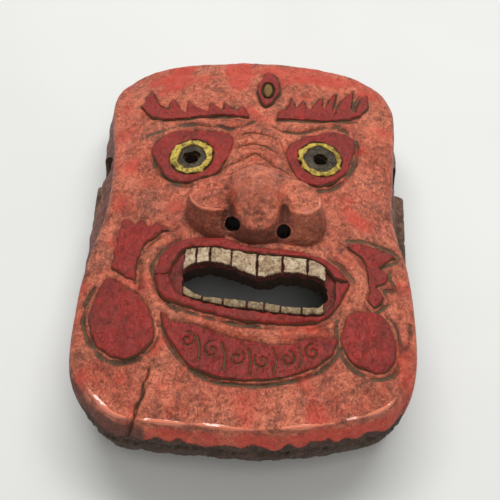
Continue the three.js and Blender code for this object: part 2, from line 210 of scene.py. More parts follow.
def relief(name, outline, rise, paint, holes=(), cell=0.7, soft=1.6, depth=2.4, strokes=(),
           uneven=0.25, seed=0):
    """A low relief cut to the face's curve. A square net over the outline's box keeps the cells
    inside it, and the net's edge is pulled onto the outline. The top stands `rise` above the face
    and rounds over, as a quarter circle, within `soft` mm of its edge; the wall drops to `depth`
    below the face, and the back is the same net again. Each stroke is (line, width, depth)."""
    low, high = outline.min(0) - cell, outline.max(0) + cell
    x, y = np.meshgrid(*(np.arange(a, b + cell, cell) for a, b in zip(low, high)), indexing="ij")
    outside = distance_to(x, y, outline)
    for hole in holes:
        outside = np.maximum(outside, -distance_to(x, y, hole))
    kept = outside < cell * 0.45
    cells = kept[:-1, :-1] & kept[1:, :-1] & kept[1:, 1:] & kept[:-1, 1:]
    number = np.arange(x.size).reshape(x.shape)
    i, j = np.nonzero(cells)
    quads = np.stack([number[i, j], number[i + 1, j], number[i + 1, j + 1], number[i, j + 1]], 1)
    used, quads = np.unique(quads, return_inverse=True)
    quads = quads.reshape(-1, 4)
    flat = np.stack([x.ravel()[used], y.ravel()[used]], 1)
    count = len(used)
    start, end = quads.ravel(), np.roll(quads, -1, 1).ravel()
    rim = ~np.isin(start * count + end, end * count + start)
    start, end = start[rim], end[rim]
    edge = np.unique(start)
    feet = np.stack([nearest(flat[edge], line) for line in (outline, *holes)])
    best = ((feet - flat[edge]) ** 2).sum(-1).argmin(0)
    flat[edge] = feet[best, np.arange(len(edge))]
    px, py = flat.T
    inset = np.maximum(0, -outside.ravel()[used])
    inset[edge] = 0
    crown = np.sqrt(1 - (1 - np.minimum(inset / soft, 1)) ** 2)
    top = face_height(px, py) + rise * crown + uneven * crown * ripple(px, py, 11, seed)
    groove = np.zeros(count)
    for line, width, deep in strokes:
        share = np.exp(-(distance_to(px, py, line, closed=False) / width) ** 2)
        top -= deep * share
        groove = np.maximum(groove, STROKE_WEAR * share)
    bottom = face_height(px, py) - depth
    points = np.vstack([np.column_stack([flat, top]), np.column_stack([flat, bottom])])
    walls = np.stack([end, start, start + count, end + count], 1)
    faces = np.vstack([quads, quads[:, ::-1] + count, walls])
    piece = put_mesh("carved_" + name, points, faces.tolist(), [paint],
                     inset=np.concatenate([inset, np.zeros(count)]),
                     groove=np.concatenate([groove, np.zeros(count)]))
    finish_piece(piece, name)


def finish_piece(piece, name):
    """The piece rides on the mask and stands for the CAD node of that name, which it hides."""
    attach(piece, "root")
    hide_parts(name)


def colour(red, green, blue):
    """A screen colour, 0 to 255, as the shader's linear one."""
    c = np.array([red, green, blue]) / 255
    return (*np.where(c <= 0.04045, c / 12.92, ((c + 0.055) / 1.055) ** 2.4), 1.0)


def feed(made, sockets):
    """Gives each input, by its name or number, its constant or the output that feeds it."""
    for key, value in sockets.items():
        if isinstance(value, bpy.types.NodeSocket):
            made.id_data.links.new(value, made.inputs[key])
        else:
            made.inputs[key].default_value = value


def node(tree, kind, sockets=None, **settings):
    """Adds a shader node with those settings and inputs."""
    made = tree.nodes.new("ShaderNode" + kind)
    for key, value in settings.items():
        setattr(made, key, value)
    feed(made, sockets or {})
    return made


def noise(where, scale, detail=5.0, rough=0.6, twist=0.0):
    """Smooth noise, `scale` waves to the metre, with `detail` finer layers."""
    sockets = {"Vector": where, "Scale": scale, "Detail": detail, "Roughness": rough,
               "Distortion": twist}
    return node(where.id_data, "TexNoise", sockets).outputs[0]


def between(value, low, high, to_low=0.0, to_high=1.0):
    """The value spread from low..high to to_low..to_high, with a smooth S."""
    return node(value.id_data, "MapRange", {0: value, 1: low, 2: high, 3: to_low, 4: to_high},
                interpolation_type="SMOOTHSTEP").outputs[0]


def mix(share, first, second):
    """`share` of the second colour over the first."""
    return node(share.id_data, "Mix", {0: share, 6: first, 7: second},
                data_type="RGBA").outputs[2]


def maths(how, first, second=0.5):
    """Sum, product or the like of two numbers."""
    return node(first.id_data, "Math", {0: first, 1: second}, operation=how).outputs[0]


def new_group(name, **inputs):
    """An empty shader node group for a finish, with the sockets it reads and its end node."""
    group = bpy.data.node_groups.new(name, "ShaderNodeTree")
    finish = {"Colour": "Color", "Roughness": "Float", "Height": "Float"}
    for way, sockets in (("INPUT", inputs), ("OUTPUT", finish)):
        for socket, kind in sockets.items():
            group.interface.new_socket(name=socket, in_out=way, socket_type="NodeSocket" + kind)
    return group, group.nodes.new("NodeGroupInput").outputs, group.nodes.new("NodeGroupOutput")


# Paint on old wood, as every painted part of the mask has it: broad fading, brown soil in
# blotches, chips down to the wood, fine dark specks, and bare wood in the cut grooves.
worn_paint, g, end = new_group(
    "worn paint", Where="Vector", Paint="Color", Faded="Color", Soil="Color", Wood="Color",
    Soiled="Float", Chipped="Float", Groove="Float")
where_at = g["Where"]
broad = between(noise(where_at, 26, 5, 0.65), 0.34, 0.66)
colour_now = mix(broad, g["Paint"], g["Faded"])
blotch = between(noise(where_at, 48, 12, 0.85, 0.6), 0.47, 0.60)
blotch = maths("MULTIPLY", blotch, g["Soiled"])
colour_now = mix(blotch, colour_now, g["Soil"])
fleck = between(noise(where_at, 180, 12, 0.92, 0.8), 0.49, 0.56, 0, 0.9)
colour_now = mix(fleck, colour_now, g["Faded"])
stain = between(noise(where_at, 170, 12, 0.9, 0.8), 0.47, 0.57)
stain = maths("MULTIPLY", stain, g["Soiled"])
colour_now = mix(maths("MULTIPLY", stain, 0.85), colour_now, g["Soil"])
drawn_out = node(worn_paint, "VectorMath", {0: where_at, 1: (1.0, 0.55, 1.0)},
                 operation="MULTIPLY").outputs[0]
scratch = between(noise(drawn_out, 420, 8, 0.85, 1.2), 0.53, 0.61, 0, 0.75)
colour_now = mix(maths("MULTIPLY", scratch, g["Soiled"]), colour_now,
                 g["Soil"])
chip = between(noise(where_at, 300, 10, 0.85, 0.8), 0.58, 0.63)
chip = maths("MULTIPLY", chip, g["Chipped"])
stray = maths("SUBTRACT", noise(where_at, 420, 5, 0.7))
ragged = maths("ADD", g["Groove"], maths("MULTIPLY", stray, 0.9))
bare = maths("MAXIMUM", chip, between(ragged, 0.36, 0.56))
colour_now = mix(bare, colour_now, g["Wood"])
speck = between(noise(where_at, 900, 3, 0.6), 0.60, 0.68, 0, 0.6)
colour_now = mix(speck, colour_now, colour(52, 32, 25))
grain = noise(where_at, 620, 7, 0.7)
rough = between(maths("MAXIMUM", stain, bare), 0, 1, 0.34, 0.78)
rough = maths("ADD", rough, maths("MULTIPLY", grain, 0.14))
height = maths("SUBTRACT", maths("MULTIPLY", grain, 0.9),
               maths("MULTIPLY", bare, 0.6))
height = maths("SUBTRACT", height, maths("MULTIPLY", scratch, 0.25))
height = maths("ADD", height,
               maths("MULTIPLY", noise(where_at, 150, 5), 1.7))
feed(end, {0: colour_now, 1: rough, 2: height})


def attribute(tree, name):
    """The piece's mark of that name."""
    return node(tree, "Attribute", attribute_name=name).outputs["Fac"]


def new_material(name):
    """A material with its Principled BSDF wired up, and the object's own coordinates in metres."""
    material = bpy.data.materials.new(name)
    material.use_nodes = True
    tree = material.node_tree
    where = node(tree, "TexCoord").outputs["Object"]
    return material, tree, tree.nodes["Principled BSDF"], where


def dress(tree, shader, colour_socket, rough_socket, height_socket, bump=0.0011):
    """Feeds a finish into the shader, its height as a bump."""
    raised = node(tree, "Bump", {"Height": height_socket, "Distance": bump, "Strength": 0.8})
    feed(shader, {"Base Color": colour_socket, "Roughness": rough_socket,
                  "Normal": raised.outputs[0]})


def painted(name, paint, faded, soil, wood, soiled=0.6, chipped=0.5, edge_reach=1.4):
    """Worn paint for a relief: it is thin at the relief's edge, where the wood shows through."""
    material, tree, shader, where = new_material(name)
    edge = between(attribute(tree, "inset"), 0.0, edge_reach, 0.62, 0.0)
    worn = maths("MAXIMUM", attribute(tree, "groove"), edge)
    finish = node(tree, "Group", {
        "Where": where, "Paint": colour(*paint), "Faded": colour(*faded), "Soil": colour(*soil),
        "Wood": colour(*wood), "Soiled": soiled, "Chipped": chipped, "Groove": worn},
        node_tree=worn_paint)
    dress(tree, shader, *finish.outputs)
    return material


# ==== The brows ================================================================================
# Two flaming eyebrows, left standing when the ground round them was cut down, and painted dark
# red over the ground's coral, which still shows between the flames.
DARK_RED = painted("dark red paint", (142, 24, 20), (168, 38, 28), (92, 44, 32), (110, 88, 60),
                   0.55, 0.5, 0.9)
BROW_RISE = 1.3
BROWS = {
    "brow_left": [
        (-75.7, 92.5), (-71.7, 86), (-65.7, 80), (-56.7, 76.6), (-46.5, 76.8), (-36.5, 77.8),
        (-26.4, 78.8), (-14.7, 78.7), (-2.9, 76.9), (-5.7, 83.2), (-10.2, 89.6), (-10.9, 83),
        (-15.1, 85.7), (-20.5, 91.4), (-20.9, 83), (-24.5, 87), (-29.4, 92.6), (-30.3, 82.8),
        (-34, 85.3), (-39, 88.2), (-43.8, 93.6), (-44.5, 81.8), (-46.9, 83.8), (-49.4, 88.7),
        (-54.6, 98.2), (-56, 93.2), (-56.4, 86.5), (-61.2, 89.4), (-65, 97), (-70.6, 108),
        (-72.8, 101.3)],
    "brow_right": [
        (13.8, 76.9), (20.5, 76.8), (30.5, 77.3), (44, 78.8), (52.5, 80.3), (61.1, 84), (68.2, 89),
        (71.6, 94), (74, 101.5), (74.3, 113.2), (70, 108.4), (67.2, 101.4), (64.8, 90.9),
        (62.3, 94.5), (63.8, 103.7), (64.6, 115), (58.6, 106.6), (54.9, 98.4), (51.2, 85.4),
        (50.3, 92.1), (52.1, 100), (53.6, 109.4), (48, 100.6), (45.1, 91.2), (43.4, 93.2),
        (44.2, 103), (40, 97.4), (36.4, 89.3), (33.3, 88.6), (31.2, 96.4), (28.7, 92.8),
        (26, 87.3), (25.1, 92.8), (23.9, 99), (21.9, 93.2), (20.3, 86.1), (16.9, 86.7), (14.8, 84)],
}


def refine(points, step=1.5):
    """A closed line of straight pieces, with points put in about every `step` mm."""
    p = np.asarray(points, float)
    q = np.roll(p, -1, 0)
    lengths = np.linalg.norm(q - p, axis=1)
    at = np.concatenate([[0], np.cumsum(lengths)])
    run = np.linspace(0, at[-1], max(8, int(at[-1] / step)), endpoint=False)
    run = np.unique(np.concatenate([run, at[:-1]]))
    ring = np.vstack([p, p[:1]])
    return np.stack([np.interp(run, at, ring[:, k]) for k in (0, 1)], 1)


for seed, (name, corners) in enumerate(BROWS.items()):
    outline = hand_cut(refine(corners, 1.0), 0.25, 7, seed)
    relief(name, outline, BROW_RISE, DARK_RED, soft=0.9, cell=0.6, seed=seed)
    cut_bed(outline, 0.9, 0.9, BED, 0.65)
cut_lines(
    ([(-70, 84), (-61, 78.5), (-50, 76.5), (-36, 76.4), (-22, 77.3), (-6, 75.5)], 0.8, 1.1, 1.0),
    ([(14, 75.5), (30, 76), (44, 78.3), (57, 80.3), (66, 84)], 0.8, 1.0, 1.0),
    ([(61, 112), (57, 104), (53.5, 96), (50.5, 84)], 0.9, 0.8, 0.9),
    ([(69, 110), (66, 103), (64.5, 96), (62, 91)], 0.9, 0.8, 0.9))

# ==== The jewel on the forehead ================================================================
# A petal standing up between the brows with an oval eye in it: red paint round an olive gold
# middle, both cut from the block, inside a groove.
GOLD = painted("gold paint", (122, 92, 30), (146, 112, 44), (84, 58, 30), (92, 72, 52),
               0.7, 0.6, 0.8)
JEWEL_RISE = 1.5
JEWEL = [(7, 124), (2, 113), (1, 103), (6, 88), (13, 97), (15.5, 107), (13, 117)]
STONE_MIDDLE, STONE_HALF, STONE_GAP = np.array([7.7, 104.2]), np.array([3.1, 7.4]), 1.1


def oval(middle, half, count=40, stray=0.0, seed=0):
    """A hand-cut oval: the cosine and sine of the turn, times the half widths."""
    turn = np.linspace(0, math.tau, count, endpoint=False)
    line = np.asarray(middle) + np.stack([np.cos(turn), np.sin(turn)], 1) * half
    return hand_cut(line, stray, 6, seed)


petal_line = hand_cut(smooth_line(JEWEL), 0.3, 8, 5)
relief("forehead_petal", petal_line, JEWEL_RISE, DARK_RED, cell=0.5, soft=1.2,
       holes=[oval(STONE_MIDDLE, STONE_HALF + STONE_GAP)], seed=5)
relief("forehead_stone", oval(STONE_MIDDLE, STONE_HALF), JEWEL_RISE + 0.2, GOLD,
       cell=0.4, soft=1.2, seed=6)
cut_bed(petal_line, 1.3, 1.5, BED, 0.8)

# ==== The eyes =================================================================================
# A red patch round each eye, a ring of yellow paint on it, and a dark sunk iris that the pupil
# hole goes through, for the wearer to see out.
PATCH_RISE, RING_RISE, IRIS_DROP, IRIS_BED = 0.8, 1.0, 0.8, 3.8
RING_OUTER = 13.6
RING_INNER, PUPIL = {"left": 8.8, "right": 10.0}, {"left": 5.0, "right": 4.4}
EYES = {"left": (-38, 44), "right": (42, 46)}
EYE_PATCHES = {
    "left": [(-64, 54), (-60, 60.5), (-54, 64.9), (-45.7, 66.3), (-35.6, 65.6), (-25.5, 64.6),
             (-17.2, 63.2), (-12.4, 57.8), (-13.1, 49.1), (-16.7, 40.6), (-19.8, 32), (-25.5, 28.5),
             (-32.7, 27), (-40.6, 24.2), (-48.8, 26.3), (-55.2, 33.2), (-61.2, 44.2)],
    "right": [(21.1, 45.7), (22.6, 53.3), (27.4, 59.3), (35.6, 64.5), (45.6, 68.5), (52.4, 70.3),
              (59.1, 69.9), (63.3, 65.9), (63.4, 56.9), (62.1, 47.9), (59.5, 40.1), (53.7, 32.9),
              (45.6, 27.2), (37.6, 24.6), (30.2, 27.4), (24.6, 34.7)],
}
YELLOW = painted("yellow paint", (206, 172, 52), (232, 206, 92), (112, 84, 38), (96, 62, 34),
                 0.95, 0.9, 0.5)
DARK_IRIS = painted("dark iris", (62, 56, 44), (92, 82, 60), (46, 36, 28), (66, 48, 30),
                    0.9, 0.7, 0.5)
for seed, (side, middle) in enumerate(EYES.items(), start=10):
    patch_line = hand_cut(smooth_line(EYE_PATCHES[side]), 0.5, 12, seed)
    relief(f"eye_patch_{side}", patch_line, PATCH_RISE, DARK_RED, soft=0.9,
           holes=[oval(middle, RING_OUTER + 0.3)], seed=seed)
    relief(f"eye_ring_{side}", oval(middle, RING_OUTER, 60, 0.6, seed), RING_RISE, YELLOW,
           cell=0.5, soft=0.7,
           holes=[oval(middle, RING_INNER[side], 50, 0.6, seed)], seed=seed)
    relief(f"iris_{side}", oval(middle, RING_INNER[side] - 0.05, 50, 0.6, seed), -IRIS_DROP,
           DARK_IRIS, cell=0.5, soft=1.4, depth=3.4,
           holes=[oval(middle, PUPIL[side] + 0.1, 36, 0.45, seed)], seed=seed)
    cut_bed(patch_line, 0.8, 1.3, BED, 0.4)
    cut_bed(oval(middle, RING_INNER[side] - 0.6), 0.6, 2.8, IRIS_BED, 1.0)
cut_lines(
    ([(-62, 48), (-60, 38), (-54, 31), (-46, 23.5), (-36, 21.5)], 1.6, 2.0, 0.75),
    ([(49, 75), (61, 72), (65.5, 63), (64, 48), (60, 37), (53, 28), (42, 22)], 1.6, 2.2, 0.75),
    ([(-46, 72.7), (-36, 70.8), (-22.4, 68.4), (-14, 66.2), (-7.7, 71.2), (-0.3, 75)],
     1.3, 2.0, 0.75),
    ([(12, 70.5), (17, 66.5), (24, 65.5), (32, 67.5), (41, 72), (54, 77)], 1.3, 2.0, 0.75),
    ([(-68, 64), (-58, 68), (-48, 71), (-38, 71)], 2.0, 0.8, 0.75))

# ==== The nose =================================================================================
# The boldest form on the mask: a round tip, a short bridge and two wide wings with flat fronts,
# left standing from the block. The nostrils are drilled through to the hollow.
CORAL_COLOURS = ((190, 80, 54), (236, 132, 98), (100, 57, 41), (112, 92, 66))
NOSE_TOP = smooth_line([       # the edge of its flat front: wings, tip, and the point at the top
    (-35, 1), (-33, 8), (-27, 13), (-18, 15.5), (-9, 14.5), (-3, 18), (3, 21), (10, 18), (21, 16.5),
    (30, 13.5), (38, 7), (41.5, -1), (39, -6.5), (33, -9), (26, -7), (21.5, -1), (17.5, -4),
    (14, -14), (7, -18.5), (-1, -17.5), (-6.5, -10), (-10, -2), (-15, -6), (-23, -9), (-31.5, -5)],
    steps=4)
NOSE_FOOT = smooth_line([      # where it meets the face
    (-39, 2), (-36.5, 10.5), (-28.5, 15.5), (-18, 18), (-9, 17.2), (-3, 20.6), (3, 24), (10, 21),
    (21, 19), (31, 16.4), (42, 9), (46, -3), (43, -13.5), (37, -19), (29, -20), (21, -19.5),
    (14, -20.5), (7, -22.3), (-3, -21), (-10, -16.5), (-17, -17), (-26, -15.5), (-35, -8)], steps=4)
BRIDGE_FOOT = smooth_line([(-21, 22), (-19, 30), (-16.5, 40), (-13.5, 50), (-12.5, 59), (-11, 66),
                           (-5, 69), (2, 70), (9, 69.5), (14, 67), (17, 59), (19.5, 50),
                           (22, 42), (25, 32), (28, 22), (22, 10), (4, 6), (-16, 10)], steps=4)
WING_TOP, TIP_RISE, BRIDGE_TOP = 104.5, 11.0, 9.0
NOSTRILS = [((-9.5, -11.5), 4.6), ((20.5, -15.5), 4.4)]
NOSE_CORE = np.array([4.0, 10.0])
TIP_X, TIP_Y, TIP_WIDE, TIP_LONG, TIP_FALL = 4, 6, 14, 15, 15
CREASES = ((-12.5, 4.2, -5, 8, 8.5), (21, 4.0, -6, 7.5, 7.5))    # x, width, y, length, depth
# Painted shade in the crease beside the tip on each side.
CREASE_SHADE = ((-12.5, -1, -14, 0.75), (21, -2, -16, 0.6))        # x, y, end, how much


def nose_height(x, y):
    """Height of the nose. Its wall climbs from the foot line to the top line as a power of the
    share of the way between them. Inside the top line it is nearly flat, plus a bell for the tip
    that falls off in front, less a bell for the crease on each side of it. The bridge is a lower
    ridge whose sides rise as one less an exponential. The nose is the higher of the two."""
    base = face_height(x, y)
    inside, outside = -distance_to(x, y, NOSE_FOOT), distance_to(x, y, NOSE_TOP)
    share = inside / np.maximum(inside + np.maximum(outside, 0), 1e-6)
    climb = np.where(inside > 0, np.clip(share, 0, 1), 0)
    tip = TIP_RISE * np.exp(-np.abs((x - TIP_X) / TIP_WIDE) ** 3
                            - np.abs(np.maximum(y - TIP_Y, 0) / TIP_LONG) ** 3)
    tip = tip - TIP_FALL * step_up(-y, -4, 20) * np.exp(-np.abs((x - TIP_X) / 13) ** 4)
    tip = tip - 0.12 * np.abs(x - 1) * np.exp(-((x - TIP_X) / 18) ** 2)
    crease = 0
    for at, wide, end, long, deep in CREASES:
        crease = crease + deep * np.exp(-np.abs((x - at) / wide) ** 1.5
                                        - (np.maximum(0, y - end) / long) ** 2)
    softer = np.minimum(1, np.maximum(0, -outside) / 1.0)
    flat = WING_TOP + tip - crease - 0.5 * (1 - softer) ** 2
    whole = base + (flat - base) * np.minimum(climb ** 0.8, 1)
    across = -distance_to(x, y, BRIDGE_FOOT)
    ridge = BRIDGE_TOP - 5.5 * step_up(y, 24, 70)
    return np.maximum(whole, base + ridge * (1 - np.exp(-np.maximum(0, across) / 2.6)))


def tube(count, levels):
    """Faces of a net closed on itself, `count` points round and `levels` along, with a cap at
    each end."""
    number = np.arange(count * levels).reshape(count, levels)
    beside = np.roll(number, -1, 0)
    quads = np.stack([number[:, :-1], number[:, 1:], beside[:, 1:], beside[:, :-1]], -1)
    return quads.reshape(-1, 4).tolist() + [number[:, 0].tolist(), number[::-1, -1].tolist()]


def nose_surface(around=220, rings=130):
    """A net of rings round the nose's middle, out to the larger of its two foot lines, lifted to
    the nose's height; below it the same outline is closed just above the face."""
    turn = np.linspace(0, math.tau, around, endpoint=False)
    way = np.stack([np.cos(turn), np.sin(turn)], 1)
    steps = np.linspace(1, 62, 245)
    ray = NOSE_CORE + steps[:, None, None] * way
    inside = np.minimum(distance_to(*np.moveaxis(ray, -1, 0), NOSE_FOOT),
                        distance_to(*np.moveaxis(ray, -1, 0), BRIDGE_FOOT)) < 0
    reach = (inside * steps[:, None]).max(0)
    for _ in range(2):
        reach = (np.roll(reach, 1) + 2 * reach + np.roll(reach, -1)) / 4
    share = np.linspace(0, 1, rings + 1)[1:]
    flat = NOSE_CORE + (share[None, :, None] * reach[:, None, None]) * way[:, None]
    x, y = flat[..., 0], flat[..., 1]
    z = nose_height(x, y)
    lip = face_height(x[:, -1], y[:, -1])
    z[:, -1] = lip + 0.15
    low = np.column_stack([x[:, -1], y[:, -1], lip - 1.2])
    middle = [(*NOSE_CORE, float(nose_height(*NOSE_CORE))),
              (*NOSE_CORE, float(face_height(*NOSE_CORE)) - 1.2)]
    points = np.vstack([np.stack([x, y, z], -1).reshape(-1, 3), low, middle])
    number = np.arange(around * rings).reshape(around, rings)
    beside = np.roll(number, -1, 0)
    foot = around * rings + np.arange(around)
    next_foot = np.roll(foot, -1)
    walls = np.stack([number[:, -1], foot, next_foot, beside[:, -1]], 1)
    top = np.stack([np.full(around, len(points) - 2), number[:, 0], beside[:, 0]], 1)
    under = np.stack([np.full(around, len(points) - 1), next_foot, foot], 1)
    return points, tube(around, rings)[:-2] + walls.tolist() + top.tolist() + under.tolist()


nose_points, nose_faces = nose_surface()
x, y, z = nose_points.T
wrinkles = np.zeros(len(x))
for line in ([(-9.5, 59), (-2.2, 61.3), (7.7, 60), (17.7, 55)],
             [(-12, 48.5), (-5, 49.6), (0.7, 51.2), (8.1, 48.6), (15, 44)],
             [(-18, 31), (-10, 34), (-3, 39), (2, 42), (7, 38), (14, 32), (24, 27)],
             [(-19, 22.5), (-10, 24), (-4, 28), (2, 32), (8, 28.5), (15, 24.5), (25, 20)]):
    wrinkles += np.exp(-(distance_to(x, y, smooth_line(line, False), False) / 1.0) ** 2)
raised = step_up(z - face_height(x, y), 0.5, 4)
wrinkles = np.clip(wrinkles, 0, 1) * raised
z = z - 2.0 * wrinkles + raised * (0.35 * ripple(x, y, 10, 40) + 0.2 * ripple(x, y, 4, 42))
nose_points = np.column_stack([x, y, z])


def drill(name, start, along, radius, length, count=36, seed=0):
    """A rough round rod to cut a hole with: a circle carried along a straight line."""
    along = np.array(along, float) / np.linalg.norm(along)
    side = np.cross(along, (0.3, 1, 0.2))
    side /= np.linalg.norm(side)
    other = np.cross(along, side)
    turn = np.linspace(0, math.tau, count, endpoint=False)
    run = np.linspace(0, length, 14)
    t, s = np.meshgrid(turn, run, indexing="ij")
    r = radius * (1 + 0.05 * ripple(np.cos(t) * 5, s + 5 * np.sin(t), 7, seed))
    ring = (np.array(start) + s[..., None] * along + (r * np.cos(t))[..., None] * side
            + (r * np.sin(t))[..., None] * other).reshape(-1, 3)
    return put_mesh(name, ring, tube(count, len(run)))


def six_volumes(mesh):
    """Six times the volume inside a closed mesh: the sum of each triangle's corner product."""
    mesh.calc_loop_triangles()
    corners = np.zeros(len(mesh.loop_triangles) * 3, np.int32)
    mesh.loop_triangles.foreach_get("vertices", corners)
    a, b, c = points_of(mesh)[corners.reshape(-1, 3)].transpose(1, 0, 2)
    return float((a * np.cross(b, c)).sum())


def face_outwards(mesh):
    """Turns the faces of a closed mesh outwards, if its volume comes out negative."""
    if six_volumes(mesh) < 0:
        mesh.flip_normals()


def pierce(piece, cutters, wood_slot):
    """Cuts the closed shapes out of the piece; the new walls take the material in `wood_slot`."""
    for cutter in cutters:
        for _ in range(wood_slot + 1):
            cutter.data.materials.append(None)
        cutter.data.polygons.foreach_set("material_index", [wood_slot] * len(cutter.data.polygons))
        face_outwards(cutter.data)
        step = piece.modifiers.new(cutter.name, "BOOLEAN")
        step.operation, step.object, step.solver = "DIFFERENCE", cutter, "MANIFOLD"
    bpy.context.view_layer.update()
    whole = piece.evaluated_get(bpy.context.evaluated_depsgraph_get())
    pierced = bpy.data.meshes.new_from_object(whole)
    piece.modifiers.clear()
    piece.data = pierced
    for cutter in cutters:
        bpy.data.objects.remove(cutter)


# Bare old wood: long fibres along the mask, darker pores between them, and soil in blotches.
raw_wood, g, end = new_group("raw wood", Where="Vector", Dark="Color", Light="Color",
                             Coarse="Float")
along_fibres = node(raw_wood, "VectorMath", {0: g["Where"], 1: (1.0, 0.15, 1.0)},
                    operation="MULTIPLY").outputs[0]
sized = node(raw_wood, "VectorMath", {0: along_fibres, "Scale": g["Coarse"]},
             operation="SCALE").outputs[0]
fibre = noise(sized, 700, 6, 0.7, 0.5)
blotch = noise(g["Where"], 90, 8, 0.75)
share = maths("ADD", maths("MULTIPLY", fibre, 0.7),
              maths("MULTIPLY", blotch, 0.6))
base = mix(between(share, 0.5, 0.85), g["Dark"], g["Light"])
pore = between(noise(sized, 1400, 3, 0.6), 0.55, 0.68, 0, 0.7)
base = mix(pore, base, colour(24, 15, 11))
feed(end, {0: base, 1: maths("ADD", maths("MULTIPLY", fibre, 0.2), 0.68),
           2: fibre})


def wood(name, dark, light, coarse=1.0):
    """Bare wood with no paint on it."""
    material, tree, shader, where = new_material(name)
    finish = node(tree, "Group", {"Where": where, "Dark": colour(*dark), "Light": colour(*light),
                                  "Coarse": coarse}, node_tree=raw_wood)
    dress(tree, shader, *finish.outputs, 0.0008)
    return material


HOLE_WOOD = wood("wood in the holes", (52, 34, 26), (104, 72, 50))


def grey(value):
    """A plain number as the grey that a colour socket wants."""
    return (value, value, value, 1.0)


def coral(name):
    """The face's ground colour, by the piece's marks: `groove` is raw wood in the cuts, `fresh`
    bright paint, `red` the mouth's paint, `shade` painted shade mixed with old soil,
    `polish` paint rubbed glossy and also lightened as a painted highlight, and
    `bare` wood with no paint at all."""
    material, tree, shader, where = new_material(name)
    paints = dict(zip(("Paint", "Faded", "Soil", "Wood"), (colour(*c) for c in CORAL_COLOURS)))
    finish = node(tree, "Group", {"Where": where, **paints, "Soiled": 0.78, "Chipped": 0.5,
                                  "Groove": attribute(tree, "groove")}, node_tree=worn_paint)
    wooden = node(tree, "Group", {"Where": where, "Dark": colour(50, 34, 27),
                                  "Light": colour(104, 76, 60), "Coarse": 0.8}, node_tree=raw_wood)
    stray = maths("MULTIPLY", maths("SUBTRACT", noise(where, 240, 8, 0.85)), 1.3)

    def marked(mark, low, high, most=1.0):
        """Where the mark is strong, with a ragged border."""
        return between(maths("ADD", attribute(tree, mark), stray), low, high, 0, most)

    base = mix(marked("fresh", 0.25, 1.0, 0.75), finish.outputs[0], colour(206, 66, 50))
    base = mix(marked("red", 0.4, 0.6), base, colour(136, 38, 32))
    # The dark brown of the shade mark: painted shade, mixed with old soil.
    base = mix(marked("shade", 0.1, 1.0, 0.9), base, colour(88, 46, 34))
    # Paint rubbed glossy, and also lightened towards the faded coral as a painted highlight.
    polished_and_highlit = marked("polish", 0.35, 0.75)
    base = mix(maths("MULTIPLY", polished_and_highlit, 0.8), base, colour(*CORAL_COLOURS[1]))
    unpainted = marked("bare", 0.42, 0.58)
    base = mix(unpainted, base, wooden.outputs[0])
    rough = mix(unpainted, mix(polished_and_highlit, finish.outputs[1], grey(0.14)), wooden.outputs[1])
    height = mix(unpainted, mix(polished_and_highlit, finish.outputs[2], grey(0.8)), wooden.outputs[2])
    dress(tree, shader, base, rough, height)
    feed(shader, {"Coat Weight": polished_and_highlit, "Coat Roughness": 0.1})
    return material


CORAL = coral("coral paint")
lifted = z - face_height(x, y)
off_top = distance_to(x, y, NOSE_TOP)
# Painted shade: the nose darkens low down by the face, on the walls below its flat front, in the
# creases, under the tip, and in lines along the top of its front and the foot of the bridge.
wall = step_up(off_top, -0.2, 0.7) * (lifted > 1) * (y < 16)
shade = 0.5 * np.exp(-np.maximum(0, lifted) / 2.5) * (y < 18) + 0.5 * wall * np.where(y < 0, 1, 0.8)
for at, top, end, soil in CREASE_SHADE:
    shade += soil * np.exp(-((x - at) / 3.0) ** 2 - (np.maximum(0, y - top) / 6) ** 2) * (y > end)
shade += 0.25 * step_up(-y, 10, 18) * (np.abs(x - 5) < 13)
shade += 0.8 * np.exp(-((off_top - 0.1) / 0.9) ** 2) * step_up(y, 4, 9)
shade += 0.6 * np.exp(-(distance_to(x, y, BRIDGE_FOOT) / 1.3) ** 2) * (y > 24)
# Painted highlight: the lower rims of the wings and the top of the nose are lightened, and made
# glossy.
polish = np.exp(-((off_top + 0.4) / 0.7) ** 2) * (y < 2) * (np.abs(x - TIP_X) > 19)
polish = np.maximum(polish, 0.5 * step_up(z, 104, 109))
fresh = np.clip(0.25 * ripple(x, y, 16, 43), 0, 1) * (off_top < -2)
nose = put_mesh("carved_nose", nose_points, nose_faces, [CORAL, HOLE_WOOD],
                groove=wrinkles * 0.56, shade=np.clip(shade, 0, 1), polish=polish, fresh=fresh)
NOSTRIL_TILT = 0.95
drills = []
for number, ((hx, hy), radius) in enumerate(NOSTRILS):
    way = np.array([0, math.cos(NOSTRIL_TILT), -math.sin(NOSTRIL_TILT)])
    start = np.array([hx, hy, face_height(hx, hy) + 7]) - 22 * way
    drills.append((start, way, radius, 70, 36, 60 + number))
pierce(nose, [drill(f"nostril_{n}", *d) for n, d in enumerate(drills)], 1)
nose.data.set_sharp_from_angle(angle=math.radians(40))
finish_piece(nose, "nose")

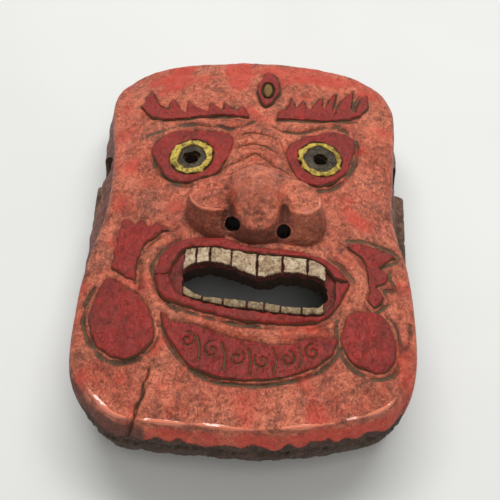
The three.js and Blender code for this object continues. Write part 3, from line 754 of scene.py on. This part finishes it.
# ==== The lips and teeth =======================================================================
# Two broad red lips round an open mouth. Between them stand two rows of square teeth, cut from
# the edge of the opening and painted ivory, with red left in the splits.
LIP_RISE, TOOTH_RISE = 1.7, 1.3
UPPER_LIP_EDGE = [(-54, -40.4), (-51, -28), (-44, -20), (-34, -17), (-20, -17.5), (-10, -19),
                  (-1, -23.5), (13, -24.5), (27, -24.5), (41, -26.5), (51, -31), (60, -40.4)]
UPPER_GUM = [(-45, -40.4), (-42, -31), (-36, -24.5), (-20, -24), (-8, -26.5), (7, -29), (22, -29),
             (36, -29), (46, -33), (51, -40.4)]
MOUTH_TOP = [(-37, -41), (-32, -36), (-22, -35), (-10, -38.5), (2, -44), (8, -45), (14, -44),
             (21, -41.5), (31, -40.5), (42, -41.5), (47, -46)]
MOUTH_BOTTOM = [(-37, -47), (-31, -53), (-22, -57), (-6, -59), (8, -60), (20, -61), (32, -61),
                (42, -59), (47, -53)]
LOWER_GUM = [(-45, -40.7), (-41, -51), (-35, -56), (-25, -60), (-12, -63.5), (0, -65), (20, -66.5),
             (32, -66), (45, -63.5), (51, -54), (51, -40.7)]
LOWER_LIP_EDGE = [(-54, -40.7), (-49, -54), (-40, -60), (-25, -65.5), (-10, -70), (3, -72),
                  (23, -72), (38, -69.5), (47, -65), (53, -57), (57, -49), (60, -40.7)]
UPPER_TEETH_AT = [-37, -29.5, -21.5, -9, 6, 20.5, 35, 46]
LOWER_TEETH_AT = [-36, -24.5, -12.5, 1, 11, 20, 32, 45]
TOOTH_GAP = 0.5


def band(first, second):
    """The closed line round a band between two lines that both run from left to right."""
    return np.vstack([smooth_line(first, False, 4), smooth_line(second, False, 4)[::-1]])


def tooth_line(left, right, gum, edge):
    """A tooth between two splits, from just off the gum to the edge of the mouth."""
    gum, edge = (smooth_line(line, False, 6) for line in (gum, edge))
    run = np.linspace(left + TOOTH_GAP / 2, right - TOOTH_GAP / 2, 8)
    at_gum = np.interp(run, *gum[np.argsort(gum[:, 0])].T)
    at_edge = np.interp(run, *edge[np.argsort(edge[:, 0])].T)
    inwards = np.sign(at_edge - at_gum) * 0.5
    corners = np.vstack([np.stack([run, at_gum + inwards], 1),
                         np.stack([run, at_edge - 0.3 * inwards], 1)[::-1]])
    return refine(corners, 1.0)


for seed, (name, line) in enumerate((("upper_lip", band(UPPER_GUM, UPPER_LIP_EDGE)),
                                     ("lower_lip", band(LOWER_LIP_EDGE, LOWER_GUM))), start=20):
    relief(name, hand_cut(refine(line), 0.35, 9, seed), LIP_RISE, DARK_RED,
           soft=2.2, cell=0.6, depth=2.6, seed=seed)
IVORY = painted("tooth paint", (196, 168, 132), (224, 204, 170), (122, 86, 58), (92, 44, 36),
                0.9, 0.8, 1.2)
OCHRE = painted("lower tooth paint", (160, 136, 100), (182, 160, 122), (104, 76, 52),
                (88, 50, 38), 0.8, 0.7, 1.0)
for row, splits, gum, edge, paint in (("upper", UPPER_TEETH_AT, UPPER_GUM, MOUTH_TOP, IVORY),
                                      ("lower", LOWER_TEETH_AT, LOWER_GUM, MOUTH_BOTTOM, OCHRE)):
    for n, (left, right) in enumerate(zip(splits, splits[1:]), start=1):
        line = hand_cut(tooth_line(left, right, gum, edge), 0.25, 5, 30 + n)
        relief(f"{row}_tooth_{n}", line, TOOTH_RISE, paint, soft=1.4, cell=0.5,
               depth=3.0, uneven=0.4, seed=30 + n)
mouth_bed = band(UPPER_LIP_EDGE, LOWER_LIP_EDGE)
cut_bed(mouth_bed, 0.8, 1.2, 3.0, 0.3)
cut_lines(
    ([(-41, -17), (-48, -22), (-55, -31), (-54, -42), (-48, -55), (-40, -62.5), (-25, -68),
      (-10, -72.5), (9, -74.5)], 1.2, 1.6, 0.8),
    ([(-36, -70), (-20, -73.5), (0, -77.5), (22, -77.5), (38, -75), (49, -69)], 2.2, -1.5, 0.0),
    ([(9, -74.5), (25, -74.5), (39, -72), (49, -67), (56, -58), (61, -48), (62, -40)],
     1.1, 1.2, 0.3),
    ([(-38, -10), (-48, -15), (-57, -26), (-59, -40), (-55, -54), (-46, -64)], 2.8, -1.7, 0.0),
    ([(46, -19), (57, -26), (65, -36), (66, -48), (60, -60), (52, -67)], 2.6, -1.5, 0.0),
    ([(48, -26), (56, -31), (63, -39), (64, -46)], 1.4, 1.4, 0.8))

# ==== The cheeks ===============================================================================
# On each cheek a flame, and below it a round disc, cut as low reliefs with deep gouge lines
# beside them where the bare wood shows, and painted dark red.
CHEEK_RISE = 1.0
CHEEKS = {
    "cheek_flame_left": refine([
        (-77, 0), (-79, -10), (-80, -22), (-80, -33), (-72, -39), (-64, -45), (-65, -33),
        (-63, -23), (-60, -16), (-54, -13), (-46, -9), (-51, -7), (-56, -3), (-58.5, -5.5),
        (-61, -6), (-63.5, -2), (-66, -1), (-68.5, -3.5), (-71, -3), (-73.5, 0.5)]),
    "cheek_flame_right": refine([
        (58, -14), (67, -22), (71, -32), (71, -42), (70, -49), (74, -53), (79, -50), (81, -45),
        (76, -40), (81, -36), (84, -31), (77, -26), (83, -22), (88, -17), (80, -14), (68, -12)]),
    "cheek_disc_left": smooth_line([
        (-82, -39), (-88, -50), (-91, -62), (-88, -76), (-80, -86), (-69, -91), (-57, -88),
        (-51, -79), (-53, -67), (-60, -55), (-70, -47)]),
    "cheek_disc_right": smooth_line([
        (61, -60), (57, -66), (55, -75), (57, -83), (64, -90), (75, -94), (84, -88), (87, -77),
        (85, -66), (79, -58), (70, -57)]),
}
for seed, (name, line) in enumerate(CHEEKS.items(), start=50):
    line = hand_cut(line, 0.5, 10, seed)
    relief(name, line, CHEEK_RISE, DARK_RED, soft=1.0, uneven=0.35, seed=seed)
    cut_bed(line, 0.7, 1.2, BED, 0.3)
cut_lines(
    ([(-43, -10), (-52, -14), (-58, -18), (-62.5, -26), (-63, -37), (-62, -49)], 1.3, 1.8, 0.5),
    ([(-80, 1), (-81, -12), (-82, -24), (-82, -33)], 1.2, 1.0, 0.3),
    ([(-84, -37), (-75, -42), (-67, -48), (-58, -54)], 1.8, -1.4, 0.0),
    ([(-90, -45), (-94, -54), (-94.5, -64), (-91, -75), (-85, -84), (-80, -89.5),
      (-70, -93.3), (-58, -91.5)], 1.4, 2.6, 1.0),
    ([(-60, -92), (-52, -86), (-48, -78), (-49.5, -70)], 1.0, 1.4, 0.6),
    ([(54, -13), (62, -18), (69, -26), (73.5, -34), (73, -44)], 1.5, 1.2, 0.35),
    ([(52, -17), (60, -22), (65, -29), (68, -38), (68, -50), (66, -56)], 2.2, -1.5, 0.0),
    ([(58, -11.5), (68, -10), (80, -11.5), (90, -15), (88, -20), (79, -25)], 1.2, 1.5, 0.85),
    ([(86, -26), (84, -30), (87, -38), (81, -41), (84, -47), (80, -52), (76, -56)], 1.3, 1.6, 0.85),
    ([(53, -66), (52, -75), (54, -84), (62, -92.5), (75, -96.5), (86, -91), (90, -78), (95, -73),
      (96, -60)], 1.4, 1.7, 0.8),
    ([(70, -55), (80, -56.5), (87, -62), (90, -74)], 1.3, 1.3, 0.5))

# ==== The chin beard ===========================================================================
# A red crescent on the chin, edged by a broad gouge line, with a row of plain curls and strokes
# cut into it for a beard.
BEARD_RISE = 0.9
BEARD = smooth_line([
    (-48, -65), (-44, -77), (-38, -87), (-31, -95), (-21, -100), (-10, -103.5), (8, -104),
    (24, -101), (38, -96), (47, -89), (52, -82), (52, -76), (38, -78), (25, -82.5), (7, -83),
    (-12, -79), (-23, -75), (-32, -72), (-41, -70)])


def curl(middle, start, turns, size):
    """A spiral: the radius grows evenly with the angle."""
    t = np.linspace(0, 1, 30)
    angle = start + turns * math.tau * t
    return np.asarray(middle) + (size * (0.18 + 0.82 * t))[:, None] * np.stack(
        [np.cos(angle), np.sin(angle)], 1)


beard_strokes = [(curl(middle, start, turns, size), 0.6, 1.2) for middle, start, turns, size in (
    ((-31, -82), 0.5, 1.2, 4.6), ((-17, -88), 2.6, -1.15, 4.8), ((-3, -92), 0.2, 1.1, 4.6),
    ((11, -93), 3.4, -1.15, 4.8), ((25, -91), 0.6, 1.1, 4.6), ((39, -86), 2.9, -1.2, 4.6))]
beard_strokes += [(np.array(line, float), 0.75, 1.1) for line in (
    [(-26, -80), (-24, -86), (-24.5, -93)], [(-12, -84), (-9.5, -91), (-10, -98)],
    [(3, -87), (5, -94), (4, -101)], [(17, -86), (19, -93), (17.5, -100)],
    [(31, -84), (33, -90), (31.5, -96)])]
beard_line = hand_cut(BEARD, 0.5, 12, 55)
relief("chin_beard", beard_line, BEARD_RISE, DARK_RED, soft=1.0, cell=0.6,
       strokes=beard_strokes, seed=55)
cut_bed(beard_line, 0.7, 1.2, BED, 0.35)
cut_lines(([(-47, -72), (-42, -83), (-34, -94), (-24, -101), (-11, -105.5), (8, -106.5),
            (25, -103.5), (39, -98.5), (49, -91), (55, -82)], 1.3, 2.3, 0.95))

# ==== The ears =================================================================================
# A rough slab of the same wood at ear height on each side, left standing when the wall behind
# it was cut back, and stained by handling and old paint.
EAR_LOWER, EAR_LEAN, RIGHT_EAR_LESS = 8, 6, 3.5


def slab(low, high, lean, seed):
    """A worn slab between two corners: a rounded square section carried along the mask, drawn in
    at both ends, its top leaning up by `lean` mm towards the face, with shallow knife marks."""
    turn = np.linspace(0, math.tau, 96, endpoint=False)
    run = np.linspace(-1, 1, 60)
    t, s = np.meshgrid(turn, run, indexing="ij")
    c, w = np.cos(t), np.sin(t)
    square = (np.abs(c) ** 8 + np.abs(w) ** 8) ** (-1 / 8)
    ends = (1 - np.abs(s) ** 14) ** (1 / 6)
    middle, half = (low + high) / 2, (high - low) / 2
    across = c * square * (0.9 + 0.1 * ends)
    up = w * square * (0.93 + 0.07 * ends)
    x = middle[0] + half[0] * across
    y = middle[1] + half[1] * s
    side = np.sign(middle[0])
    z = middle[2] + half[2] * up + lean * np.clip(up, 0, 1) * (0.5 - 0.5 * across * side)
    rough = 0.45 * ripple(y, z, 9, seed) + 0.3 * ripple(y, z, 3.5, seed + 1)
    x = x + np.minimum(0, rough) * side * np.maximum(0, across * side)
    return np.stack([x, y, z], -1).reshape(-1, 3), tube(*t.shape)


EAR_WOOD = painted("stained wood", (114, 74, 54), (136, 96, 70), (72, 50, 38), (84, 62, 46),
                   0.9, 0.9)
for seed, side in enumerate(("left", "right"), start=70):
    low, high = (drawn(corner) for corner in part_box(f"ear_{side}"))
    high[0] -= RIGHT_EAR_LESS * (side == "right")
    points, faces = slab(low, np.array([high[0], high[1], high[2] - EAR_LOWER]), EAR_LEAN, seed)
    ear = put_mesh(f"carved_ear_{side}", points, faces, [EAR_WOOD], inset=np.full(len(points), 3.0),
                   groove=0.25 + 0.25 * ripple(points[:, 1], points[:, 2], 10, seed))
    face_outwards(ear.data)
    finish_piece(ear, f"ear_{side}")

# ==== The carved block =========================================================================
# The mask itself: one piece of dense wood with a rounded front edge, a chin that is undercut and
# left rough, a flat rim at the back and a hollow for the wearer's head. The gouge lines, the
# beds of the reliefs and the holes are cut last, and coral paint covers the face and its edge.
FACE_EDGE = [
    (88, 28), (90, 58), (92, 85), (91, 107), (82, 123), (64, 132), (33, 137), (-3, 138.5),
    (-40, 137), (-72, 133), (-89, 123), (-96, 106), (-94, 80), (-90, 55), (-89, 25), (-92, 0),
    (-98, -25), (-101, -55), (-101, -86), (-97, -103), (-87, -118), (-72, -130), (-46, -135),
    (-20, -137), (6, -138.5), (34, -135.5), (60, -129.5), (84, -119), (95, -104), (100, -84),
    (100, -55), (97, -25), (92, -6), (88, 12)]
EDGE_ROUND, CHIN_ROUND = 8.0, 9.0
FLARE_LEFT, FLARE_RIGHT = 10.5, 5.0
CREST, WIDEST, CRISP = 1.3, 102.3, 1.9
RIM_INSET, CHIN_UNDERCUT, CHIN_BAND = 5.0, 12.0, 21.0
RIM_WIDTH, RIM_ROUND, SIDE_WALL, FACE_WALL = 14.0, 1.5, 16.0, 15.0
ROOF_LOWER = 22        # how far under the roof the hollow's wall begins to turn over
NET_ACROSS, NET_ALONG = 180, 246
BLOCK_SQUARE = np.array([95.0, 130.0])
cut_lines(                               # creases and ridges that belong to no relief
    ([(-88, 17), (-90, 3), (-93, -10), (-96, -24)], 2.0, 0.9, 0.2),
    ([(-52, -97), (-52.5, -102), (-54.5, -106), (-54, -112), (-57, -118), (-58, -124),
      (-61, -131)], 0.85, 3.4, 0.9),
    ([(95, -98), (92, -108), (90, -118)], 1.6, 1.0, 0.5),
    ([(-20, 70), (-6, 64), (6, 63), (20, 67)], 5.0, -2.0, 0.0),
    ([(-48, 73), (-36, 73.5), (-24, 73), (-12, 71)], 2.4, -1.3, 0.0),
    ([(12, 69), (24, 70), (38, 72.5), (50, 78)], 2.4, -1.3, 0.0))
edge_line = smooth_line(FACE_EDGE, steps=12)
edge_turn = np.arctan2(edge_line[:, 1], edge_line[:, 0])
order = np.argsort(edge_turn)
edge_reach = np.linalg.norm(edge_line, axis=1)[order]
edge_turn = edge_turn[order]


def reach_to_edge(turn):
    """Distance from the middle to the face's edge, by direction."""
    return np.interp(turn, edge_turn, edge_reach, period=math.tau)


def edge_inset(x, y):
    """How far inside the face's edge a point lies, along its own ray from the middle."""
    return reach_to_edge(np.arctan2(y, x)) - np.hypot(x, y)


def carving(x, y):
    """How deep the surface lies under the plain face, how much raw wood shows there, and how dark
    it is with soil and painted shade beside the cuts and round the nose's foot. A groove is a bell
    across its line; a bed is flat with a short slope."""
    deep, ridge = np.zeros(np.shape(x)), np.zeros(np.shape(x))
    raw, soil = np.zeros(np.shape(x)), np.zeros(np.shape(x))
    for line, width, depth, closed, floor, bare in cuts:
        d = distance_to(x, y, line, closed)
        bell = np.exp(-(np.maximum(d, 0) / width) ** 2)
        if depth < 0:
            ridge = np.maximum(ridge, -depth * bell)
            continue
        bed = depth + (floor - depth) * step_up(-d, 0.1, 1.4)
        deep = np.maximum(deep, np.where(d > 0, depth * bell, bed))
        vary = 0.95 + 0.3 * ripple(x, y, 14, len(line))
        raw = np.maximum(raw, bare * bell * vary)
        # Soil and painted shade beside each cut.
        soil = np.maximum(soil, 0.55 * np.exp(-(np.maximum(d, 0) / (width * 2.2)) ** 2) * vary)
    # Painted shade round the foot of the nose.
    around_nose = np.maximum(0, distance_to(x, y, NOSE_FOOT))
    soil = np.maximum(soil, 0.75 * np.exp(-around_nose / 3.0))
    return deep - ridge, raw, soil


def unevenness(x, y):
    """What the knife left: long shallow facets and small dents, and a sharp crest where the chin
    turns over its edge, with calmer wood beside it."""
    off_edge, on_chin = np.abs(edge_inset(x, y) - EDGE_ROUND), step_up(-y, 98, 116)
    crest = CREST * np.exp(-off_edge / 2.0) * on_chin
    calm = 1 - 0.8 * np.exp(-off_edge / 3.0) * on_chin
    return crest + calm * (0.6 * ripple(x, y, 34, 80) + 0.3 * ripple(x, y, 13, 81)
                           + 0.14 * ripple(x, y, 5, 82))


def sheet(across, along):
    """Faces of a flat net, `across` points wide and `along` long."""
    number = np.arange(across * along).reshape(across, along)
    quads = np.stack([number[:-1, :-1], number[1:, :-1], number[1:, 1:], number[:-1, 1:]], -1)
    return quads.reshape(-1, 4).tolist()


s, t = np.meshgrid(np.linspace(-1, 1, NET_ACROSS + 1), np.linspace(-1, 1, NET_ALONG + 1),
                   indexing="ij")
share = np.maximum(np.abs(s), np.abs(t))
turn = np.arctan2(t * BLOCK_SQUARE[1], s * BLOCK_SQUARE[0])
reach = share * (reach_to_edge(turn) - EDGE_ROUND)
x, y = reach * np.cos(turn), reach * np.sin(turn)
deep, _, _ = carving(x, y)
net = np.stack([x, y, face_height(x, y) - deep + unevenness(x, y)], -1)
number = np.arange(s.size).reshape(s.shape)
loop = np.concatenate([number[:-1, 0], number[-1, :-1], number[:0:-1, -1], number[0, :0:-1]])
turn = turn.ravel()[loop]
outer = reach_to_edge(turn)
way = np.stack([np.cos(turn), np.sin(turn)], 1)
edge = outer[:, None] * way
edge_x, edge_y = edge.T
rim_inset = RIM_INSET + CHIN_UNDERCUT * np.maximum(0, -edge_y / 138.5) ** 4
round_over = EDGE_ROUND + (CHIN_ROUND - EDGE_ROUND) * step_up(-edge_y, 95, 125)
chamfer = 0.85 * step_up(-edge_y, 90, 120)
along = np.cumsum(np.linalg.norm(np.diff(edge, axis=0, prepend=edge[-1:]), axis=1))


def ring(inset, height):
    """One loop of points round the block, `inset` mm inside the face's edge."""
    flat = (outer - inset)[:, None] * way
    return np.column_stack([flat, np.broadcast_to(height, outer.shape)])


def edge_ring(bend):
    """The rounded front edge, from the face (0) to the wall (1): a quarter of an ellipse, and on
    the chin mostly a plain chamfer. The cuts and the unevenness fade towards the wall."""
    a = bend * math.pi / 2
    s = math.sin(a)
    inset = EDGE_ROUND * (1 - s)
    flat = (outer - inset)[:, None] * way
    deep, _, _ = carving(*flat.T)
    fade = 1 - step_up(bend, 0.3, 1.0)
    top = face_height(*flat.T) - deep * fade + unevenness(*flat.T) * (0.3 + 0.7 * fade)
    fall = chamfer * s + (1 - chamfer) * (1 - math.cos(a)) ** CRISP
    return np.column_stack([flat, top - round_over * fall])


rings = [edge_ring(bend) for bend in (0.12, 0.25, 0.4, 0.55, 0.7, 0.85, 1.0)]
wall_top = rings[-1][:, 2]
band_share = np.linspace(0, 1, 12)[1:] * CHIN_BAND
below_band = np.linspace(0, 1, 10)[1:-1]
crumbly = step_up(-edge_y, 88, 112)
upper = np.where(edge_x < 0, 1 - step_up(edge_y, 112, 130), 1 - step_up(edge_y, 70, 100))
flare = (np.where(edge_x < 0, FLARE_LEFT, FLARE_RIGHT) * upper * step_up(edge_y, -42, -4)
         * step_up(np.abs(edge_x), 60, 84))
flare = np.clip(flare, 0, np.maximum(0, WIDEST - np.abs(edge_x)))
for drop in band_share:
    torn = np.abs(ripple(along, np.full_like(along, drop), 7, 90)) * 1.3
    torn += np.abs(ripple(along, np.full_like(along, drop * 1.5), 2.6, 91)) * 0.9
    torn *= crumbly * step_up(drop, 0.5, 4.0) * (1 - 0.6 * step_up(drop, 11, 14))
    facet = 0.6 * ripple(along, np.full_like(along, drop), 22, 92) + 0.6
    rings.append(ring(drop / CHIN_BAND + np.maximum(0, facet) * 0.8 + torn * 1.2
                      - flare * step_up(drop, -3, 13), wall_top - drop))
band_end = rings[-1]
for w in below_band:
    height = band_end[:, 2] * (1 - w)
    facet = 0.7 * ripple(along, height, 20, 93) + 0.35 * ripple(along, height, 6, 94) + 0.8
    rings.append(ring(1 + (rim_inset - 1) * w + np.maximum(0, facet)
                      - flare * (1 - step_up(w, 0.45, 1.0)), height))
for inwards, height in ((0.8, 1.2), (2.0, 0.0), (RIM_WIDTH - 1.5, 0.0), (RIM_WIDTH, RIM_ROUND)):
    rings.append(ring(rim_inset + inwards, height))


def roof(flat):
    """The hollow's roof: the face less the wall behind it, with the gouge's scoops."""
    return face_height(*flat.T) - FACE_WALL + 0.8 * ripple(flat[:, 0], flat[:, 1], 16, 95)


inner = (outer - SIDE_WALL)[:, None] * way
for w in np.linspace(0, 1, 7)[1:]:
    inset = rim_inset + RIM_WIDTH + (SIDE_WALL - rim_inset - RIM_WIDTH) * w
    scoop = 0.8 * ripple(along, np.full_like(along, w * 50), 18, 96)
    rings.append(ring(inset + scoop, RIM_ROUND + (roof(inner) - ROOF_LOWER - RIM_ROUND) * w))
for share, drop in ((0.90, 14), (0.86, 9), (0.80, 4.5), (0.72, 1.5), (0.64, 0), (0.54, 0),
                    (0.44, 0), (0.34, 0), (0.24, 0), (0.15, 0), (0.07, 0)):
    flat = (share * (outer - SIDE_WALL + 2))[:, None] * way
    rings.append(np.column_stack([flat, roof(flat) - drop]))
peak = np.array([[0, 0, roof(np.zeros((1, 2)))[0]]])
points = np.vstack([net.reshape(-1, 3), *rings, peak])
size = len(loop)
loops = np.vstack([loop, net[..., 0].size + np.arange(len(rings) * size).reshape(-1, size)])
after = np.roll(loops, -1, 1)
side_quads = np.stack([after[:-1], loops[:-1], loops[1:], after[1:]], -1).reshape(-1, 4)
fan = np.column_stack([after[-1], loops[-1], np.full(size, len(points) - 1)])
faces = sheet(*s.shape) + side_quads.tolist() + fan.tolist()
# Bare wood for the walls of the holes; its dark tones are partly painted shade inside them.
BARE_WOOD_AND_SHADE = wood("bare wood", (46, 31, 24), (92, 67, 50), 0.8)
block = put_mesh("mask_block", points, faces, [coral("coral paint on the block"), BARE_WOOD_AND_SHADE])
mouth_line = hand_cut(refine(np.vstack([MOUTH_BOTTOM, MOUTH_TOP[::-1]])), 0.4, 6, 97)


def shaft(name, line, low, high, levels=40):
    """A closed line carried straight down through the block, with fibres torn along its wall."""
    heights = np.linspace(high, low, levels)
    middle = line.mean(0)
    way = (line - middle) / np.linalg.norm(line - middle, axis=1)[:, None]
    run = np.arange(len(line)) * 1.5
    r, h = np.meshgrid(run, heights, indexing="ij")
    torn = 0.35 * ripple(r, h, 6, 98) + 0.25 * ripple(r * 3, h, 5, 99)
    flat = line[:, None] + way[:, None] * torn[..., None]
    points = np.concatenate([flat, h[..., None]], -1).reshape(-1, 3)
    return put_mesh(name, points, tube(*h.shape))


TIE_HOLE_AT, TIE_HOLE_DROP, TIE_HOLE, TIE_GOUGE = 53.0, 17.5, 3.4, 9.0
SHAFT_LOW, SHAFT_HIGH = 20, 150
cutters = [shaft("mouth_shaft", mouth_line, SHAFT_LOW, SHAFT_HIGH)]
for side, middle in EYES.items():
    cutters.append(shaft(f"pupil_shaft_{side}", oval(middle, PUPIL[side], 40, 0.25, 88),
                         SHAFT_LOW, SHAFT_HIGH))
cutters += [drill(f"nostril_shaft_{n}", *d) for n, d in enumerate(drills)]
for side in (-1, 1):
    height = face_height(side * 88.9, TIE_HOLE_AT) - TIE_HOLE_DROP
    cutters.append(drill(f"tie_hole_{side + 1}", (side * 112, TIE_HOLE_AT, height), (-side, 0, 0),
                         TIE_HOLE, 60, 30, 89))
    turn, tilt = np.meshgrid(np.linspace(0, math.tau, 40, endpoint=False),
                             np.linspace(-1.5, 1.5, 21), indexing="ij")
    bowl = TIE_GOUGE * (1 + 0.06 * ripple(np.cos(turn) * 9, tilt * 9, 8, 86))
    ball = np.stack([bowl * np.cos(turn) * np.cos(tilt), bowl * np.sin(turn) * np.cos(tilt),
                     bowl * np.sin(tilt)], -1) + (side * 94, TIE_HOLE_AT, height)
    cutters.append(put_mesh(f"tie_gouge_{side + 1}", ball.reshape(-1, 3), tube(*turn.shape)))
pierce(block, cutters, 1)


def mark_block(mesh):
    """Marks each point of the pierced block: raw wood, soil and painted shade on the face, bare
    wood where the paint stops under the edge, and on the chin's edge polish with a painted
    highlight."""
    x, y, z = drawn(points_of(mesh)).T
    under = face_height(x, y) - z
    inset = edge_inset(x, y)
    on_face = step_up(-under, -9, -5)
    _, raw, soil = carving(x, y)
    chin = step_up(-y, 95, 118)
    edge_drop = np.where(inset < 9, under, 0)
    stain = 0.5 * step_up(edge_drop, 4, 22)
    stain = np.maximum(stain, 0.85 * step_up(edge_drop, 2.5, 6) * step_up(np.abs(x), 72, 80)
                       * step_up(y + 12 * ripple(y, z, 18, 98), -85, -25))
    corner = step_up(-y, 84, 96) * step_up(-x, 50, 54)
    stain = np.maximum(stain, 0.95 * corner * step_up(edge_drop, 1.0, 3.0))
    fresh = 0.15 + 0.4 * ripple(x + 0.7 * z, y - 0.7 * z, 30, 87) + 0.6 * step_up(y, 100, 122)
    fresh = fresh + 0.8 * step_up(edge_drop, 0.8, 2.5) * chin * (x > -52)
    red = step_up(-distance_to(x, y, mouth_bed), -0.3, 0.3) * on_face
    ragged = edge_drop + 0.8 * ripple(x, z, 9, 84) + 0.7 * ripple(x, z, 26, 79)
    bare = step_up(ragged, 5.0, 9.0) * chin
    bare = np.maximum(bare, 0.75 * step_up(edge_drop + 3 * ripple(y, z, 16, 85), 12, 46))
    hollow = (inset > 9) & (under > 11)
    bare = np.where(hollow, 1, bare)
    # Soil and painted shade on the face, with the stain on the walls.
    shade = np.clip(np.maximum(soil * on_face * 0.9, stain), 0, 1)
    # Painted highlight: the chin's crest is lightened, and made glossy.
    polish = np.exp(-((inset - EDGE_ROUND - 0.4) / 1.3) ** 2) * step_up(-y, 94, 112)
    polish = polish * (0.9 + 0.35 * ripple(x, y, 22, 83)) * on_face
    set_marks(mesh, groove=raw * on_face, shade=shade, bare=bare, polish=polish,
              fresh=np.clip(fresh, 0, 1), red=red)


mark_block(block.data)
block.data.set_sharp_from_angle(angle=math.radians(50))
finish_piece(block, "mask_shell")

# ==== The table, the light and the camera ======================================================
# A pale table that runs up into a pale wall, a broad soft light above the crown, and a camera
# that looks down at the mask from in front of the chin.
CAMERA_OFF, TARGET_OFF = (0.0140, -0.3157, 0.5912), (0.001, -0.0175, 0.074)
LENS, SENSOR = 72.0, 36.0
centre = np.array([(CAD_LOW.x + CAD_HIGH.x) / 2, (CAD_LOW.y + CAD_HIGH.y) / 2, CAD_LOW.z])

run = np.linspace(0, 1, 80)
rising = (run - 0.5) * math.pi
sweep_y = np.where(run < 0.5, -1.5 + 5.0 * run, 1.0 + 1.2 * np.sin(rising))
sweep_z = np.where(run < 0.5, 0.0, 1.2 * (1 - np.cos(rising)))
u, v = np.meshgrid(np.linspace(-2.5, 2.5, 12), np.arange(80), indexing="ij")
table_points = np.stack([u, sweep_y[v], sweep_z[v] + CAD_LOW.z], -1).reshape(-1, 3)
table_mesh = bpy.data.meshes.new("table")
table_mesh.from_pydata(table_points, [], sheet(*u.shape))
table_mesh.shade_smooth()
table = place("table", table_mesh)
table_paint, tree, shader, where = new_material("pale table")
tint = between(noise(where, 3.0, 3), 0.3, 0.7)
feed(shader, {"Base Color": mix(tint, colour(232, 233, 230), colour(226, 227, 225)),
              "Roughness": 0.7})
table_mesh.materials.append(table_paint)
table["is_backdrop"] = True


def turned_to(way):
    """The rotation that points a lamp or a camera along a direction."""
    return Vector(way).to_track_quat("-Z", "Y").to_euler()


LAMP_AIM = np.array([0, 0, 0.05])
for name, at, wide, high, watts in (         # metres from under the mask's middle, then its size
        ("window above the crown", (0.05, 0.5, 1.35), 1.3, 0.5, 15.5),
        ("window behind the camera", (0.15, -0.5, 1.35), 0.6, 0.6, 3.8)):
    light = bpy.data.lights.new(name, "AREA")
    light.shape, light.size, light.size_y, light.energy = "RECTANGLE", wide, high, watts
    lamp = place(name, light)
    lamp.location = centre + np.array(at)
    lamp.rotation_euler = turned_to((centre + LAMP_AIM) - (centre + np.array(at)))
world = bpy.data.worlds.new("pale room")
bpy.context.scene.world = world
world.use_nodes = True
feed(world.node_tree.nodes["Background"], {"Color": (1.0, 0.985, 0.95, 1), "Strength": 0.30})
bpy.context.scene.view_settings.view_transform = "Standard"

camera_data = bpy.data.cameras.new("camera")
camera_data.lens, camera_data.sensor_width = LENS, SENSOR
camera = place("camera", camera_data)
camera.location = centre + np.array(CAMERA_OFF)
camera.rotation_euler = turned_to(np.array(TARGET_OFF) - np.array(CAMERA_OFF))
bpy.context.scene.camera = camera

low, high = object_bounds()
